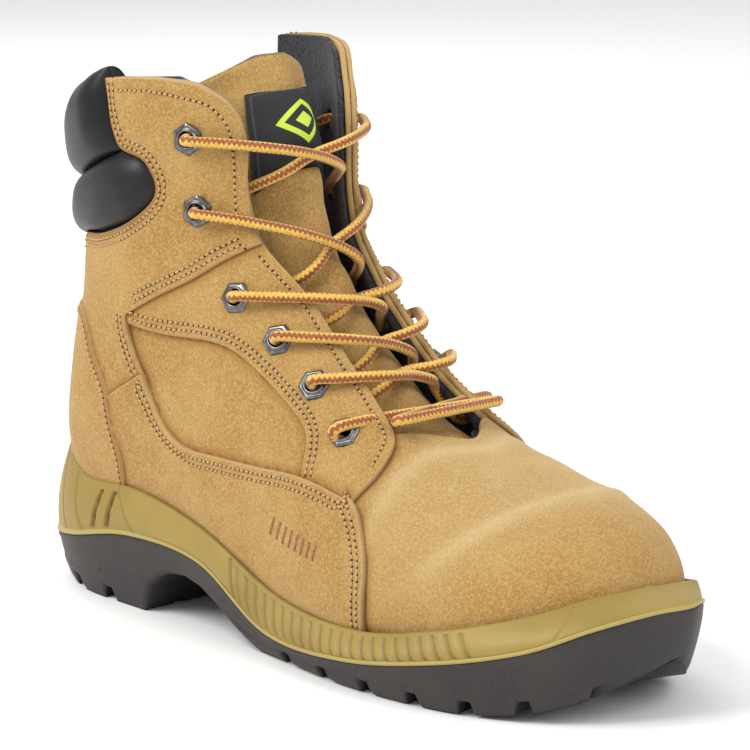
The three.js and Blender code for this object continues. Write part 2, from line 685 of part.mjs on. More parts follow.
// ---------------------------------------------------------------- heel
const roundHeel = (edge) => ({ from: () => edge, to: () => 2 * Math.PI - edge, columns: 12 });
const HEEL_SECTIONS = [12.5, 13, 14, 14.75, 15.5, COUNTER_TOP];
add(
  "heel_counter",
  onFloor(upperLayer({ ...roundHeel(COUNTER_EDGE), sections: HEEL_SECTIONS, layer: COUNTER_LAYER })),
  BOARD_FIBRE,
);
const patchSheet = upperLayer({
  ...roundHeel(1.65),
  sections: [...HEEL_SECTIONS, 17.5],
  layer: OVER_LAYER.map((h) => h + FACET_ROOM),
});
add("heel_patch", onFloor(patchSheet.intersect(throughBoot(HEEL_PATCH))), SUEDE);

// ---------------------------------------------------------------- collar
const VALLEY = 18.75; // the section of the seam between the two rolls
const ROLL_START = 1.25;
function rollHeight(section, angle) {
  const [low, high, rise] =
    section < VALLEY ? [17.1, VALLEY, ROLL_LOWER] : [VALLEY, TOP_SECTION + 0.1, ROLL_UPPER];
  const crown = Math.sqrt(Math.max(1 - ((2 * section - low - high) / (high - low)) ** 2, 0.04));
  const end = Math.min(Math.abs(angle > Math.PI ? 2 * Math.PI - angle : angle) - ROLL_START, 0.5) / 0.5;
  return [-LEATHER + 2 * FACET_ROOM, 0.8 + rise * crown * Math.sqrt(Math.max(end, 0.05))];
}
const rollBand = (sections) =>
  upperLayer({ ...roundHeel(ROLL_START), columns: 14, sections, layer: rollHeight })
    .intersect(throughBoot(PADS));
const VALLEY_GAP = 0.02;
add(
  "collar_roll_lower",
  rollBand([17.1, 17.4, 17.92, 18.45, VALLEY - VALLEY_GAP]),
  PADDING,
);
add(
  "collar_roll_upper",
  rollBand([VALLEY + VALLEY_GAP, 19, 19.4, 19.75, TOP_SECTION]),
  PADDING,
);

// ---------------------------------------------------------------- tongue
const TONGUE_SECTIONS = [8.3, 9.1, 10, 11.2, 12.5, 14, 15.6, 17.2, 18.5, 19.8, 20.4];
const TONGUE_ROOT = TOE_LINING_LAYER[0] - CUT - 2 * FACET_ROOM; // where it is sewn under the vamp
const INSIDE = SHAFT_LINING_LAYER[0] - CUT - LACE_DIAMETER / 2 - 0.6; // the lace under the flaps
const LACE_ROOM = 1.7; // between the lace and the tongue
const TONGUE_SEAT = INSIDE - LACE_DIAMETER / 2 - LACE_ROOM; // its outer face beside the throat
const TONGUE_LEAN = 11; // its top stands this far back from the flaps
const TONGUE_CROWN = 6.4; // how far it swells up between the flaps
const TONGUE_COLUMNS = 10;
const TONGUE_HALF = 33; // half width
const tongueAngle = (section) => {
  const steps = 60;
  const angles = Array.from({ length: steps }, (_, i) => (1.4 * i) / steps);
  const reach = TONGUE_HALF * alongY * Math.min(0.62 + 0.045 * (section - 8), 0.9);
  return angles.findLast((angle) => above(section, angle, TONGUE_SEAT).y <= reach) ?? angles[0];
};
const leanBack = (section) => TONGUE_LEAN * Math.max((section - 14.5) / 6, 0) ** 2;
function tongueFace(section, angle) {
  const y = Math.abs(above(section, angle, 0).y) / (19 * alongY);
  const start = Math.min(Math.max((section - 8.6) / 1.2, 0), 1);
  const crown = start * TONGUE_CROWN * Math.max(Math.cos(Math.min(y, 1) * (Math.PI / 2)), 0) ** 2;
  const root = Math.max(1 - (section - TONGUE_SECTIONS[0]) / 0.8, 0) * (TONGUE_ROOT - TONGUE_SEAT);
  return TONGUE_SEAT + root + crown - leanBack(section) * Math.cos(angle);
}
const tongueShare = { from: (s) => -tongueAngle(s), to: tongueAngle, columns: TONGUE_COLUMNS };
const TONGUE_FACE = 1.6; // its suede face, over a padded lining
add(
  "tongue",
  upperLayer({
    ...tongueShare,
    sections: TONGUE_SECTIONS,
    layer: (s, a) => [tongueFace(s, a) - TONGUE_FACE, tongueFace(s, a)],
  }),
  SUEDE,
);
add(
  "tongue_padding",
  upperLayer({
    ...tongueShare,
    sections: TONGUE_SECTIONS,
    layer: (s, a) => [tongueFace(s, a) - TONGUE, tongueFace(s, a) - TONGUE_FACE - CUT],
  }),
  TEXTILE,
);
const LABEL = 0.8;
const LABEL_SHARE = 0.6; // of the tongue's width
add(
  "tongue_label",
  upperLayer({
    from: (s) => -tongueAngle(s) * LABEL_SHARE,
    to: (s) => tongueAngle(s) * LABEL_SHARE,
    columns: TONGUE_COLUMNS * LABEL_SHARE,
    sections: [17.2, 18.5, 19.8],
    layer: (s, a) => [tongueFace(s, a) + CUT, tongueFace(s, a) + CUT + LABEL],
  }),
  LABEL_WEAVE,
);

// ---------------------------------------------------------------- eyelets
for (const side of SIDES)
  EYELETS.forEach((eyelet, i) => {
    add("eyelet_" + side.name + "_" + (i + 1), eyeletSolid(eyeletPlace(eyelet, side)), GUNMETAL);
  });

// ---------------------------------------------------------------- lace
// One lace. Each end comes up through an eyelet, crosses to the other flap's edge and goes
// under it to the next eyelet, and a bar joins the lowest two. Points are [section, angle,
// height over the skin].
const OUTSIDE = FLANGE_BASE + EYELET_FLANGE + LACE_DIAMETER / 2 + 1.1;
const UNDER_CROSSING = TONGUE_SEAT + TONGUE_CROWN + LACE_DIAMETER / 2 + 2.9;
const OVER_CROSSING = UNDER_CROSSING + LACE_DIAMETER + 0.8;
const TAIL = [
  [18.2, 1.35, INSIDE], [17.7, 1.62, INSIDE - 0.8], [17.1, 1.78, INSIDE - 2.4],
  [16.5, 1.82, INSIDE - 3], [15.9, 1.82, INSIDE - 3.2], [15.3, 1.82, INSIDE - 3.6],
  [14.8, 1.82, INSIDE - 4],
];

// From an eyelet's outside on one flap to the next eyelet's inside on the other.
function crossing(n, side) {
  const [fromSection, fromAngle] = EYELETS[n];
  const [toSection, toAngle] = EYELETS[n + 1];
  const peak = side.sign < 0 ? OVER_CROSSING : UNDER_CROSSING;
  const edge = throatAngle(toSection + 0.3 * (fromSection - toSection));
  const at = (share) => fromSection + (toSection - fromSection) * share;
  return [
    [fromSection, side.sign * fromAngle, OUTSIDE],
    [at(0.2), side.sign * fromAngle * 0.56, OUTSIDE - 0.4],
    [at(0.5), 0, peak - leanBack(at(0.5))],
    [at(0.68), -side.sign * edge * 0.78, INSIDE + 0.5],
    [at(0.86), -side.sign * (edge + toAngle) * 0.5, INSIDE],
    [toSection, -side.sign * toAngle, INSIDE],
  ];
}

function laceRoute() {
  const last = EYELETS.length - 1;
  // One end's way down, from the inside of its top eyelet to the outside of its lowest.
  const wayDown = (side) => {
    const way = [...TAIL].reverse().map(([s, a, h]) => [s, side.sign * a, h]);
    way.push([EYELETS[0][0], side.sign * EYELETS[0][1], INSIDE]);
    let here = side.sign;
    for (let n = 0; n < last; n++) {
      way.push(...crossing(n, { sign: here }));
      here = -here;
    }
    way.push([EYELETS[last][0], here * EYELETS[last][1], OUTSIDE]);
    return way;
  };
  const [section, angle] = EYELETS[last];
  const bar = [0.65, 0.33, 0, -0.33, -0.65].map((share) => [section - 0.05, share * angle, OUTSIDE + 1]);
  const points = [...wayDown(SIDES[0]), ...bar, ...wayDown(SIDES[1]).reverse()];
  return points.map((p) => above(...p));
}

// A route that is stepped point by point.
class Route extends THREE.Curve {
  constructor(points) {
    super();
    this.points = points;
  }
  getPointAt(share) {
    const at = share * (this.points.length - 1);
    const i = Math.min(Math.floor(at), this.points.length - 2);
    return this.points[i].clone().lerp(this.points[i + 1], at - i);
  }
  getPoint(share) {
    return this.getPointAt(share);
  }
  getTangentAt(share) {
    const i = Math.round(share * (this.points.length - 1));
    const before = this.points[Math.max(i - 1, 0)];
    const after = this.points[Math.min(i + 1, this.points.length - 1)];
    return after.clone().sub(before).normalize();
  }
}

const lacePoints = laceRoute();
add(
  "lace",
  solidOf(
    new THREE.ExtrudeGeometry(new THREE.Shape(circle(LACE_DIAMETER / 2, 8)), {
      steps: lacePoints.length - 1,
      extrudePath: new Route(lacePoints),
      bevelEnabled: false,
      curveSegments: 1,
    }),
  ),
  LACE_YARN,
);
for (const [side, end, next] of [
  [SIDES[0], lacePoints[0], lacePoints[1]],
  [SIDES[1], lacePoints.at(-1), lacePoints.at(-2)],
]) {
  const down = end.clone().sub(next).normalize();
  const turn = new THREE.Quaternion().setFromUnitVectors(new THREE.Vector3(0, 1, 0), down);
  const centre = end.clone().addScaledVector(down, CUT + AGLET_LENGTH / 2);
  const place = new THREE.Matrix4().compose(centre, turn, new THREE.Vector3(1, 1, 1));
  const aglet = new THREE.CylinderGeometry(AGLET_DIAMETER / 2, AGLET_DIAMETER / 2, AGLET_LENGTH, ROUND);
  add("aglet_" + side.name, placed(aglet, place), CLEAR_TIP);
}

// The origin stands under the middle of the sole.
const outline = soleRing(0, () => 0).map((p) => p.y);
boot.position.y = -(Math.min(...outline) + Math.max(...outline)) / 2;

export default boot;
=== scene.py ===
# A right-foot steel toe work boot: injected two-part sole, suede upper, padded black collar,
# tongue, hexagonal eyelets and a round braided lace.
import math

import bpy
import numpy as np
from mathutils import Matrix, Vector
from mathutils.bvhtree import BVHTree
from mathutils.geometry import delaunay_2d_cdt


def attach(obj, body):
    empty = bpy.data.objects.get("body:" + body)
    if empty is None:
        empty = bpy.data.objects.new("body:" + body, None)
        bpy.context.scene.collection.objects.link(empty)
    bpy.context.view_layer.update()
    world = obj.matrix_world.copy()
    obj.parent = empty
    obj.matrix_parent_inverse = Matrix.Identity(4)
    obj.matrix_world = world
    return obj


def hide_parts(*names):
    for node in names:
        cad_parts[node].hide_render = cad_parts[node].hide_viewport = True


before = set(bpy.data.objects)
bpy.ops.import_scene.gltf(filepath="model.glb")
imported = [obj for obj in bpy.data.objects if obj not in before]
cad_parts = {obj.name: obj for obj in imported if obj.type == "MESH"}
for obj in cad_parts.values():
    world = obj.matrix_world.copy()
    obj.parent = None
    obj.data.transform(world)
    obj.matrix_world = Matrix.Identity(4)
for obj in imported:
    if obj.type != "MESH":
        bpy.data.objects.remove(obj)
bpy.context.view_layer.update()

# ---------------------------------------------------------------- camera and studio
# A pale floor under a bright, even sky, with one large soft light over the toe's outer side,
# and a long lens that looks down a little at the outer side and the toe.
MM = 0.001
LOOK_AT = Vector((2, 2, 90)) * MM
AZIMUTH, ELEVATION = math.radians(47), math.radians(12)
DISTANCE = 1.36
camera = bpy.data.objects.new("camera", bpy.data.cameras.new("camera"))
bpy.context.scene.collection.objects.link(camera)
view_back = Vector((math.sin(AZIMUTH) * math.cos(ELEVATION),
                    -math.cos(AZIMUTH) * math.cos(ELEVATION), math.sin(ELEVATION)))
camera.location = LOOK_AT + DISTANCE * view_back
camera.rotation_mode = "QUATERNION"
camera.rotation_quaternion = (-view_back).to_track_quat("-Z", "Y")
camera.data.lens = 188.6
camera.data.sensor_width = 36
camera.data.shift_x = 0.0053
camera.data.shift_y = 0.0067
bpy.context.scene.camera = camera
bpy.context.scene.view_settings.view_transform = "Standard"


def soft_light(name, place, size, power, colour=(1, 1, 1)):
    """A square area light at a place, turned to the middle of the boot."""
    data = bpy.data.lights.new(name, "AREA")
    data.size = size
    data.energy = power
    data.color = colour
    light = bpy.data.objects.new(name, data)
    bpy.context.scene.collection.objects.link(light)
    light.location = place
    light.rotation_mode = "QUATERNION"
    light.rotation_quaternion = (LOOK_AT - Vector(place)).to_track_quat("-Z", "Y")


soft_light("key_light", (-0.3, -1.1, 1.3), 0.9, 22, (1, 0.985, 0.96))
soft_light("toe_light", (1.3, 0.2, 1.0), 0.9, 9)
soft_light("back_light", (-1.2, 0.6, 1.0), 0.8, 8)

world = bpy.data.worlds.new("studio")
bpy.context.scene.world = world
world.use_nodes = True
world.node_tree.nodes["Background"].inputs["Color"].default_value = (1, 1, 1, 1)
world.node_tree.nodes["Background"].inputs["Strength"].default_value = 0.75


def new_material(name, roughness=0.8, metallic=0.0):
    """A node material; returns it with its node tree and its Principled shader."""
    material = bpy.data.materials.new(name)
    material.use_nodes = True
    shader = material.node_tree.nodes["Principled BSDF"]
    shader.inputs["Roughness"].default_value = roughness
    shader.inputs["Metallic"].default_value = metallic
    return material, material.node_tree, shader


floor_paper, _, paper_shader = new_material("floor_paper", 0.9)
paper_shader.inputs["Base Color"].default_value = (0.9, 0.9, 0.9, 1)
FLOOR_HALF = 6
floor_mesh = bpy.data.meshes.new("floor")
floor_mesh.from_pydata(
    [(x * FLOOR_HALF, y * FLOOR_HALF, 0) for x, y in ((-1, -1), (1, -1), (1, 1), (-1, 1))],
    [], [(0, 1, 2, 3)])
floor_mesh.materials.append(floor_paper)
floor = bpy.data.objects.new("floor", floor_mesh)
bpy.context.scene.collection.objects.link(floor)

# ---------------------------------------------------------------- the last
# Every piece of the upper lies on one closed shape, the last. A row is one section, from the
# toe (0) past the top of the shaft (20): the front point's x and z, the back point's x and z, the
# outer and inner half widths, where along it is widest, how square its front and back are, and
# its sideways lean. Millimetres; the sole's middle line lies 2 mm off the last's own.
LAST = np.array([
    [132, 22, 84, 5, 42, 38, 0.06, 2.1, 2.6, 5],
    [133, 34, 84, 5, 43, 38.5, 0.1, 2.1, 2.6, 5],
    [131, 43.5, 84, 5, 44.5, 40, 0.15, 2.1, 2.6, 5],
    [125, 51.5, 83, 5, 46, 42.5, 0.21, 2.15, 2.6, 5],
    [115, 58, 81, 5, 48, 45.5, 0.26, 2.2, 2.6, 5],
    [101.5, 63.3, 79, 5, 49, 48, 0.31, 2.25, 2.6, 4.5],
    [85.5, 67.8, 75, 5, 49.5, 49.5, 0.34, 2.25, 2.6, 4],
    [67, 72, 61, 4, 50, 49.5, 0.345, 2.2, 2.6, 3],
    [48, 78.5, 44, 3, 50, 48.5, 0.34, 2.1, 2.6, 1.5],
    [33, 88, 26, 3, 49.5, 46.5, 0.33, 2.0, 2.6, 0.5],
    [20, 98.5, 5, 5, 47.5, 43, 0.335, 1.95, 2.6, 0],
    [8, 110, -22, 10, 45, 41, 0.35, 1.95, 2.5, 0],
    [-3, 122, -56, 17, 43, 40, 0.38, 1.95, 2.4, 0],
    [-12, 134, -95, 19, 41.5, 40, 0.43, 2.0, 2.3, 0],
    [-18, 146, -126, 22, 41, 40, 0.465, 2.0, 2.2, 0],
    [-21, 157, -139, 42, 41, 40.5, 0.48, 2.0, 2.1, 0],
    [-23, 167, -137, 68, 41, 40.5, 0.48, 2.05, 2.05, 0],
    [-24, 176, -132, 96, 40.5, 40.5, 0.48, 2.1, 2.0, 0],
    [-25, 184, -129, 125, 40.5, 40.5, 0.48, 2.1, 2.0, 0],
    [-26, 190, -129, 155, 41, 41, 0.48, 2.1, 2.0, 0],
    [-27, 194, -129, 184, 41.5, 41.5, 0.48, 2.1, 2.0, 0],
    [-28, 212, -129, 206, 42, 42, 0.48, 2.1, 2.0, 0],
])
MIDDLE_Y = 2.0


def smooth_rows(rows, at):
    """Catmull-Rom through the rows of a table: at is a row number with a fraction."""
    at = np.asarray(at, float)
    last = len(rows) - 1
    i = np.clip(np.floor(at).astype(int), 0, last - 1)
    f = (at - i)[..., None]
    ends = np.vstack([2 * rows[0] - rows[1], rows, 2 * rows[-1] - rows[-2]])
    p0, p1, p2, p3 = (ends[i + k] for k in range(4))
    return 0.5 * (2 * p1 + (p2 - p0) * f + (2 * p0 - 5 * p1 + 4 * p2 - p3) * f ** 2
                  + (-p0 + 3 * p1 - 3 * p2 + p3) * f ** 3)


def skin(section, angle):
    """The last's surface: each section is a superellipse whose front half and back half have
    their own squareness, set between its front and back points. Angle 0 is the front, and
    minus is the outer side."""
    section, angle = np.broadcast_arrays(np.asarray(section, float), np.asarray(angle, float))
    (front_x, front_z, back_x, back_z, outer, inner, widest, square_front, square_back,
     lean) = np.moveaxis(smooth_rows(LAST, section), -1, 0)
    c, s = np.cos(angle), np.sin(angle)
    power = np.where(c >= 0, square_front, square_back)
    radius = (np.abs(s) ** power + np.abs(c) ** power) ** (-1 / power)
    share = widest + np.where(c >= 0, 1 - widest, widest) * c * radius
    return np.stack([back_x + (front_x - back_x) * share,
                     np.where(s >= 0, inner, outer) * s * radius + lean * share + MIDDLE_Y,
                     back_z + (front_z - back_z) * share], -1)


def unit(v):
    """Vectors scaled to length 1."""
    return v / np.maximum(np.linalg.norm(v, axis=-1, keepdims=True), 1e-9)


def outward(section, angle):
    """The last's outward normal, from the cross product of its two slopes."""
    step = 1e-3
    round_it = skin(section, angle + step) - skin(section, angle - step)
    along_it = skin(section + step, angle) - skin(section - step, angle)
    return unit(np.cross(round_it, along_it))


def above(section, angle, height):
    """A point at a height over the last, along its outward normal."""
    section, angle = np.asarray(section, float), np.asarray(angle, float)
    height = np.asarray(height, float)
    return skin(section, angle) + height[..., None] * outward(section, angle)


# Half the throat's opening as an angle, at even steps of section from its root up.
THROAT = np.array([[0.2], [0.4], [0.41], [0.41], [0.42], [0.44], [0.5], [0.57], [0.61], [0.63],
                   [0.65], [0.66], [0.7], [0.86]])
THROAT_SECTION, THROAT_STEP = 8.4, 0.93


def throat_angle(section):
    """Half the throat's opening at a section, as an angle."""
    at = np.clip((np.asarray(section, float) - THROAT_SECTION) / THROAT_STEP, 0, len(THROAT) - 1)
    return smooth_rows(THROAT, at)[..., 0]

# ---------------------------------------------------------------- lace
# One round braided lace, gold with a brown zigzag. Each end comes up through an eyelet, crosses
# over the tongue to the other flap, dives under its edge to the next eyelet, and a bar joins the
# lowest two. Its ends hang inside the shaft, each in a clear tip.
EYELETS = np.array([[18.25, 1.04], [16.17, 0.97], [13.45, 0.83], [12.07, 0.74], [10.82, 0.7],
                    [9.59, 0.72]])
LACE_DIAMETER = 3.8
FLANGE_BASE = 2.7
OUTSIDE = FLANGE_BASE + 1.2 + LACE_DIAMETER / 2 + 1.1
INSIDE = -4.1 - LACE_DIAMETER / 2 - 0.6
UNDER_CROSSING = -4.9
OVER_CROSSING = -0.7
LACE_BOW = 4.0
TAIL = np.array([[18.2, 1.35, 0], [17.8, 1.62, -0.8], [17.45, 1.84, -2.2], [17.05, 2.0, -2.8],
                 [16.6, 2.1, -3], [16.1, 2.16, -3.2], [15.6, 2.2, -3.6]])


def section_for(angle, height, level):
    """The section at which a point at an angle and a height over the last reaches a level."""
    sections = np.linspace(8, 21, 120)
    return float(np.interp(level, above(sections, np.full(120, angle), np.full(120, height))[:, 2],
                           sections))


def taut(start, end, between, bow):
    """Waypoints from start to end whose levels run straight but for a bow; between holds the
    angle and height of each."""
    from_z, to_z = (float(above(*map(np.asarray, point))[2]) for point in (start, end))
    way = [list(start)]
    for angle, height in between:
        u = (start[1] - angle) / (start[1] - end[1])
        way.append([section_for(angle, height, from_z + (to_z - from_z) * u
                                + bow * 4 * u * (1 - u)), angle, height])
    return way + [list(end)]


def lace_crossing(n, sign):
    """From an eyelet's outside on one flap to the next eyelet's inside on the other. It dives
    under the far flap a little past that eyelet, and the lowest one a little before it."""
    (from_section, from_angle), (to_section, to_angle) = EYELETS[n], EYELETS[n + 1]
    peak = OVER_CROSSING if sign < 0 else UNDER_CROSSING
    lowest = n == len(EYELETS) - 2
    dive = to_section + (0.25 if lowest else -0.2) * (from_section - to_section)
    far, near = float(throat_angle(dive)), float(throat_angle(from_section))
    way = taut([from_section, sign * from_angle, OUTSIDE],
               [dive, -sign * far * 0.95, INSIDE + 1.6],
               [[sign * (0.3 * near + 0.7 * from_angle), OUTSIDE - 0.7],
                [sign * near, 5.0], [sign * near * 0.5, (5.0 + peak) / 2 + 1.0], [0, peak],
                [-sign * far * 0.55, (peak + INSIDE + 1.6) / 2 + 1.2]], LACE_BOW)
    halfway = (dive + to_section) / 2
    return way + [[halfway, -sign * (far + to_angle) * 0.5, INSIDE],
                  [to_section, -sign * to_angle, INSIDE]]


def lace_way_down(sign):
    """One end's way, from its free end inside the shaft to the outside of its lowest eyelet."""
    way = [[s, sign * a, INSIDE + h] for s, a, h in TAIL[::-1]]
    way.append([EYELETS[0, 0], sign * EYELETS[0, 1], INSIDE])
    for n in range(len(EYELETS) - 1):
        way += lace_crossing(n, sign)
        sign = -sign
    return way + [[EYELETS[-1, 0], sign * EYELETS[-1, 1], OUTSIDE]]


def evenly(points, spacing):
    """Points re-spaced evenly along their line."""
    travelled = np.concatenate([[0], np.cumsum(np.linalg.norm(np.diff(points, axis=0), axis=1))])
    count = max(int(round(travelled[-1] / spacing)) + 1, 3)
    at = np.linspace(0, travelled[-1], count)
    return np.stack([np.interp(at, travelled, column) for column in points.T], -1)


def smooth_line(points, per_step=8):
    """A smooth curve through points."""
    points = np.asarray(points, float)
    return smooth_rows(points, np.linspace(0, len(points) - 1, per_step * (len(points) - 1) + 1))


low_section, low_angle = EYELETS[-1]
bar = taut([low_section, -low_angle, OUTSIDE], [low_section, low_angle, OUTSIDE],
           [[share * low_angle, height] for share, height in
            ((-0.62, 6.0), (-0.3, 4.6), (0, 4.2), (0.3, 4.6), (0.62, 6.0))], 3.0)[1:-1]
lace_points = above(*np.array(lace_way_down(-1) + bar + lace_way_down(1)[::-1]).T)
lace_line = evenly(smooth_line(lace_points, 12), 0.55)
soften = np.hanning(19)[1:-1] / np.hanning(19)[1:-1].sum()
for _ in range(2):
    held = np.vstack([2 * lace_line[0] - lace_line[8:0:-1], lace_line,
                      2 * lace_line[-1] - lace_line[-2:-10:-1]])
    lace_line = np.stack([np.convolve(column, soften, "valid") for column in held.T], -1)
lace_line = evenly(lace_line, 0.8)


def frames_along(line):
    """Two directions square to a line at each point, carried along it without twist."""
    ahead = unit(np.gradient(line, axis=0))
    side = np.zeros_like(line)
    now = unit(np.cross(ahead[0], [0.3, 0.2, 1.0]))
    for i, direction in enumerate(ahead):
        now = unit(now - direction * (now @ direction))
        side[i] = now
    return side, np.cross(ahead, side)


LACE_SIDES = 18
BRAID_PITCH = 3.4
run = np.concatenate([[0], np.cumsum(np.linalg.norm(np.diff(lace_line, axis=0), axis=1))])
turn = np.linspace(0, 2 * math.pi, LACE_SIDES + 1)
strand = (np.sin(run[:, None] * 2 * math.pi / BRAID_PITCH * 2 + 3 * turn)
          * np.sin(run[:, None] * 2 * math.pi / BRAID_PITCH * 2 - 3 * turn))
lace_radius = LACE_DIAMETER / 2 * (1 + 0.035 * strand - 0.02)
side_a, side_b = frames_along(lace_line)
lace_tube = (lace_line[:, None] + (lace_radius * np.cos(turn))[..., None] * side_a[:, None]
             + (lace_radius * np.sin(turn))[..., None] * side_b[:, None])
lace_uv = np.stack(np.broadcast_arrays(run[:, None] / BRAID_PITCH, turn / (2 * math.pi)), -1)


def put(tree, kind, **values):
    """A node with its settings and its unlinked inputs: a name with a space or a capital is an
    input, and the rest are settings."""
    node = tree.nodes.new(kind)
    for key, value in values.items():
        if key[0].isupper():
            node.inputs[key.replace("_", " ")].default_value = value
        else:
            setattr(node, key, value)
    return node


def math_node(tree, operation, *operands):
    """A Math node on links or numbers; returns its output."""
    node = tree.nodes.new("ShaderNodeMath")
    node.operation = operation
    for socket, operand in zip(node.inputs, operands):
        if isinstance(operand, (int, float)):
            socket.default_value = operand
        else:
            tree.links.new(operand, socket)
    return node.outputs[0]


def blend_colour(tree, factor, first, second):
    """A colour Mix on links or colours; returns its output."""
    node = tree.nodes.new("ShaderNodeMix")
    node.data_type = "RGBA"
    for socket, value in ((node.inputs[0], factor), (node.inputs[6], first),
                          (node.inputs[7], second)):
        if isinstance(value, bpy.types.NodeSocket):
            tree.links.new(value, socket)
        elif isinstance(value, (int, float)):
            socket.default_value = value
        else:
            socket.default_value = (*value, 1)
    return node.outputs[2]


def noise(tree, size, detail=2.0, coordinates=None, roughness=0.55):
    """Noise with features of a size in millimetres, on Object coordinates; returns its factor."""
    if coordinates is None:
        coordinates = put(tree, "ShaderNodeTexCoord").outputs["Object"]
    node = put(tree, "ShaderNodeTexNoise", Scale=1 / (size * MM), Detail=detail,
               Roughness=roughness)
    tree.links.new(coordinates, node.inputs["Vector"])
    return node.outputs["Fac"]


def ramp(tree, factor, low, high):
    """0 under low, 1 over high, and smooth between."""
    node = put(tree, "ShaderNodeMapRange", interpolation_type="SMOOTHSTEP")
    node.inputs["From Min"].default_value = low
    node.inputs["From Max"].default_value = high
    tree.links.new(factor, node.inputs["Value"])
    return node.outputs["Result"]


def bump(tree, shader, height, distance, strength=1.0):
    """A bump of a depth in millimetres on a shader's normal."""
    node = put(tree, "ShaderNodeBump", Strength=strength, Distance=distance * MM)
    tree.links.new(height, node.inputs["Height"])
    tree.links.new(node.outputs["Normal"], shader.inputs["Normal"])


lace_yarn, tree, shader = new_material("lace_yarn", 0.75)
shader.inputs["Sheen Weight"].default_value = 0.25
uv_node = put(tree, "ShaderNodeUVMap", uv_map="UVMap")
split = put(tree, "ShaderNodeSeparateXYZ")
tree.links.new(uv_node.outputs["UV"], split.inputs["Vector"])
along, around = split.outputs["X"], split.outputs["Y"]
saw = math_node(tree, "PINGPONG", math_node(tree, "MULTIPLY", along, 2.0), 0.5)
zig = math_node(tree, "ADD", math_node(tree, "MULTIPLY", around, 3.0),
                math_node(tree, "MULTIPLY", saw, 0.55))
wave = math_node(tree, "PINGPONG", zig, 0.5)
brown = ramp(tree, wave, 0.24, 0.30)
ticks = math_node(tree, "SINE", math_node(tree, "MULTIPLY", along, 2 * math.pi * 4))
gold_mix = ramp(tree, noise(tree, 0.7), 0.35, 0.65)
gold = blend_colour(tree, gold_mix, (0.60, 0.33, 0.030), (0.74, 0.50, 0.09))
dark = blend_colour(tree, gold_mix, (0.20, 0.045, 0.018), (0.36, 0.10, 0.03))
tree.links.new(blend_colour(tree, brown, gold, dark), shader.inputs["Base Color"])
plait = math_node(tree, "MULTIPLY", ticks,
                  math_node(tree, "SINE", math_node(tree, "MULTIPLY", around, 2 * math.pi * 9)))
bump(tree, shader, plait, 0.12, 0.7)


def grid_faces(rows, columns, closed=False):
    """The four-sided faces of a grid of points, whose last column may join the first."""
    r = np.arange(rows - 1)[:, None]
    c = np.arange(columns if closed else columns - 1)[None, :]
    d = (c + 1) % columns
    return np.stack([r * columns + c, r * columns + d, (r + 1) * columns + d,
                     (r + 1) * columns + c], -1).reshape(-1, 4)


def facing_out(points, faces):
    """Faces, one array or several, all turned round if their closed surface holds a negative
    volume, which is the sum of the faces' triple products."""
    points = np.asarray(points, float)
    groups = faces if isinstance(faces, list) else [faces]
    volume = 0.0
    for corners in groups:
        a, b, c = (points[corners[:, k]] for k in range(3))
        volume += np.einsum("ij,ij->", a, np.cross(b, c))
        if corners.shape[1] == 4:
            d = points[corners[:, 3]]
            volume += np.einsum("ij,ij->", a, np.cross(c, d))
    groups = [g[:, ::-1] for g in groups] if volume < 0 else groups
    return [f for g in groups for f in g.tolist()]


def make_piece(name, points, faces, material, body, slot, stands_for=(), fields=None, uv=None):
    """A piece from points in millimetres and faces. Fields are numbers kept on its points for
    the material, and uv is a pair for each point."""
    mesh = bpy.data.meshes.new(name)
    faces = [f.tolist() if hasattr(f, "tolist") else list(f) for f in faces]
    mesh.from_pydata((np.asarray(points, float) * MM).tolist(), [], faces)
    mesh.polygons.foreach_set("use_smooth", np.full(len(mesh.polygons), True))
    for key, values in (fields or {}).items():
        layer = mesh.attributes.new(key, "FLOAT", "POINT")
        layer.data.foreach_set("value", np.asarray(values, np.float32))
    if uv is not None:
        corner = np.zeros(len(mesh.loops), int)
        mesh.loops.foreach_get("vertex_index", corner)
        layer = mesh.uv_layers.new(name="UVMap")
        layer.data.foreach_set("uv", np.asarray(uv, np.float32)[corner].ravel())
    mesh.materials.append(material)
    mesh.validate()
    mesh.update()
    piece = bpy.data.objects.new(name, mesh)
    bpy.context.scene.collection.objects.link(piece)
    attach(piece, body)
    if stands_for:
        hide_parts(*stands_for)
    return piece


lace_count = len(lace_line)
lace_points_all = np.vstack([lace_tube.reshape(-1, 3), lace_line[:1], lace_line[-1:]])
lace_uv_all = np.vstack([lace_uv.reshape(-1, 2), [[0, 0]], [[0, 0]]])
width = LACE_SIDES + 1
body_faces = grid_faces(lace_count, width)
ends = [np.stack([np.arange(LACE_SIDES) + 1, np.arange(LACE_SIDES),
                  np.full(LACE_SIDES, lace_count * width)], -1),
        np.stack([(lace_count - 1) * width + np.arange(LACE_SIDES),
                  (lace_count - 1) * width + np.arange(LACE_SIDES) + 1,
                  np.full(LACE_SIDES, lace_count * width + 1)], -1)]
lace = make_piece("lace_braid", lace_points_all,
                  facing_out(lace_points_all, [body_faces, *ends]), lace_yarn, "boot",
                  "lace_yarn", ["lace"], uv=lace_uv_all)


def ring_shell(rings):
    """Closed rings of points joined one to the next, with a point at the middle of each end
    ring. Returns the points and the faces, facing out."""
    count, sides = rings.shape[:2]
    points = np.vstack([rings.reshape(-1, 3), rings[0].mean(0), rings[-1].mean(0)])
    ring = np.arange(sides)
    after = (ring + 1) % sides
    low = np.stack([after, ring, np.full(sides, count * sides)], -1)
    top = (count - 1) * sides
    high = np.stack([top + ring, top + after, np.full(sides, count * sides + 1)], -1)
    return points, facing_out(points, [grid_faces(count, sides, True), low, high])


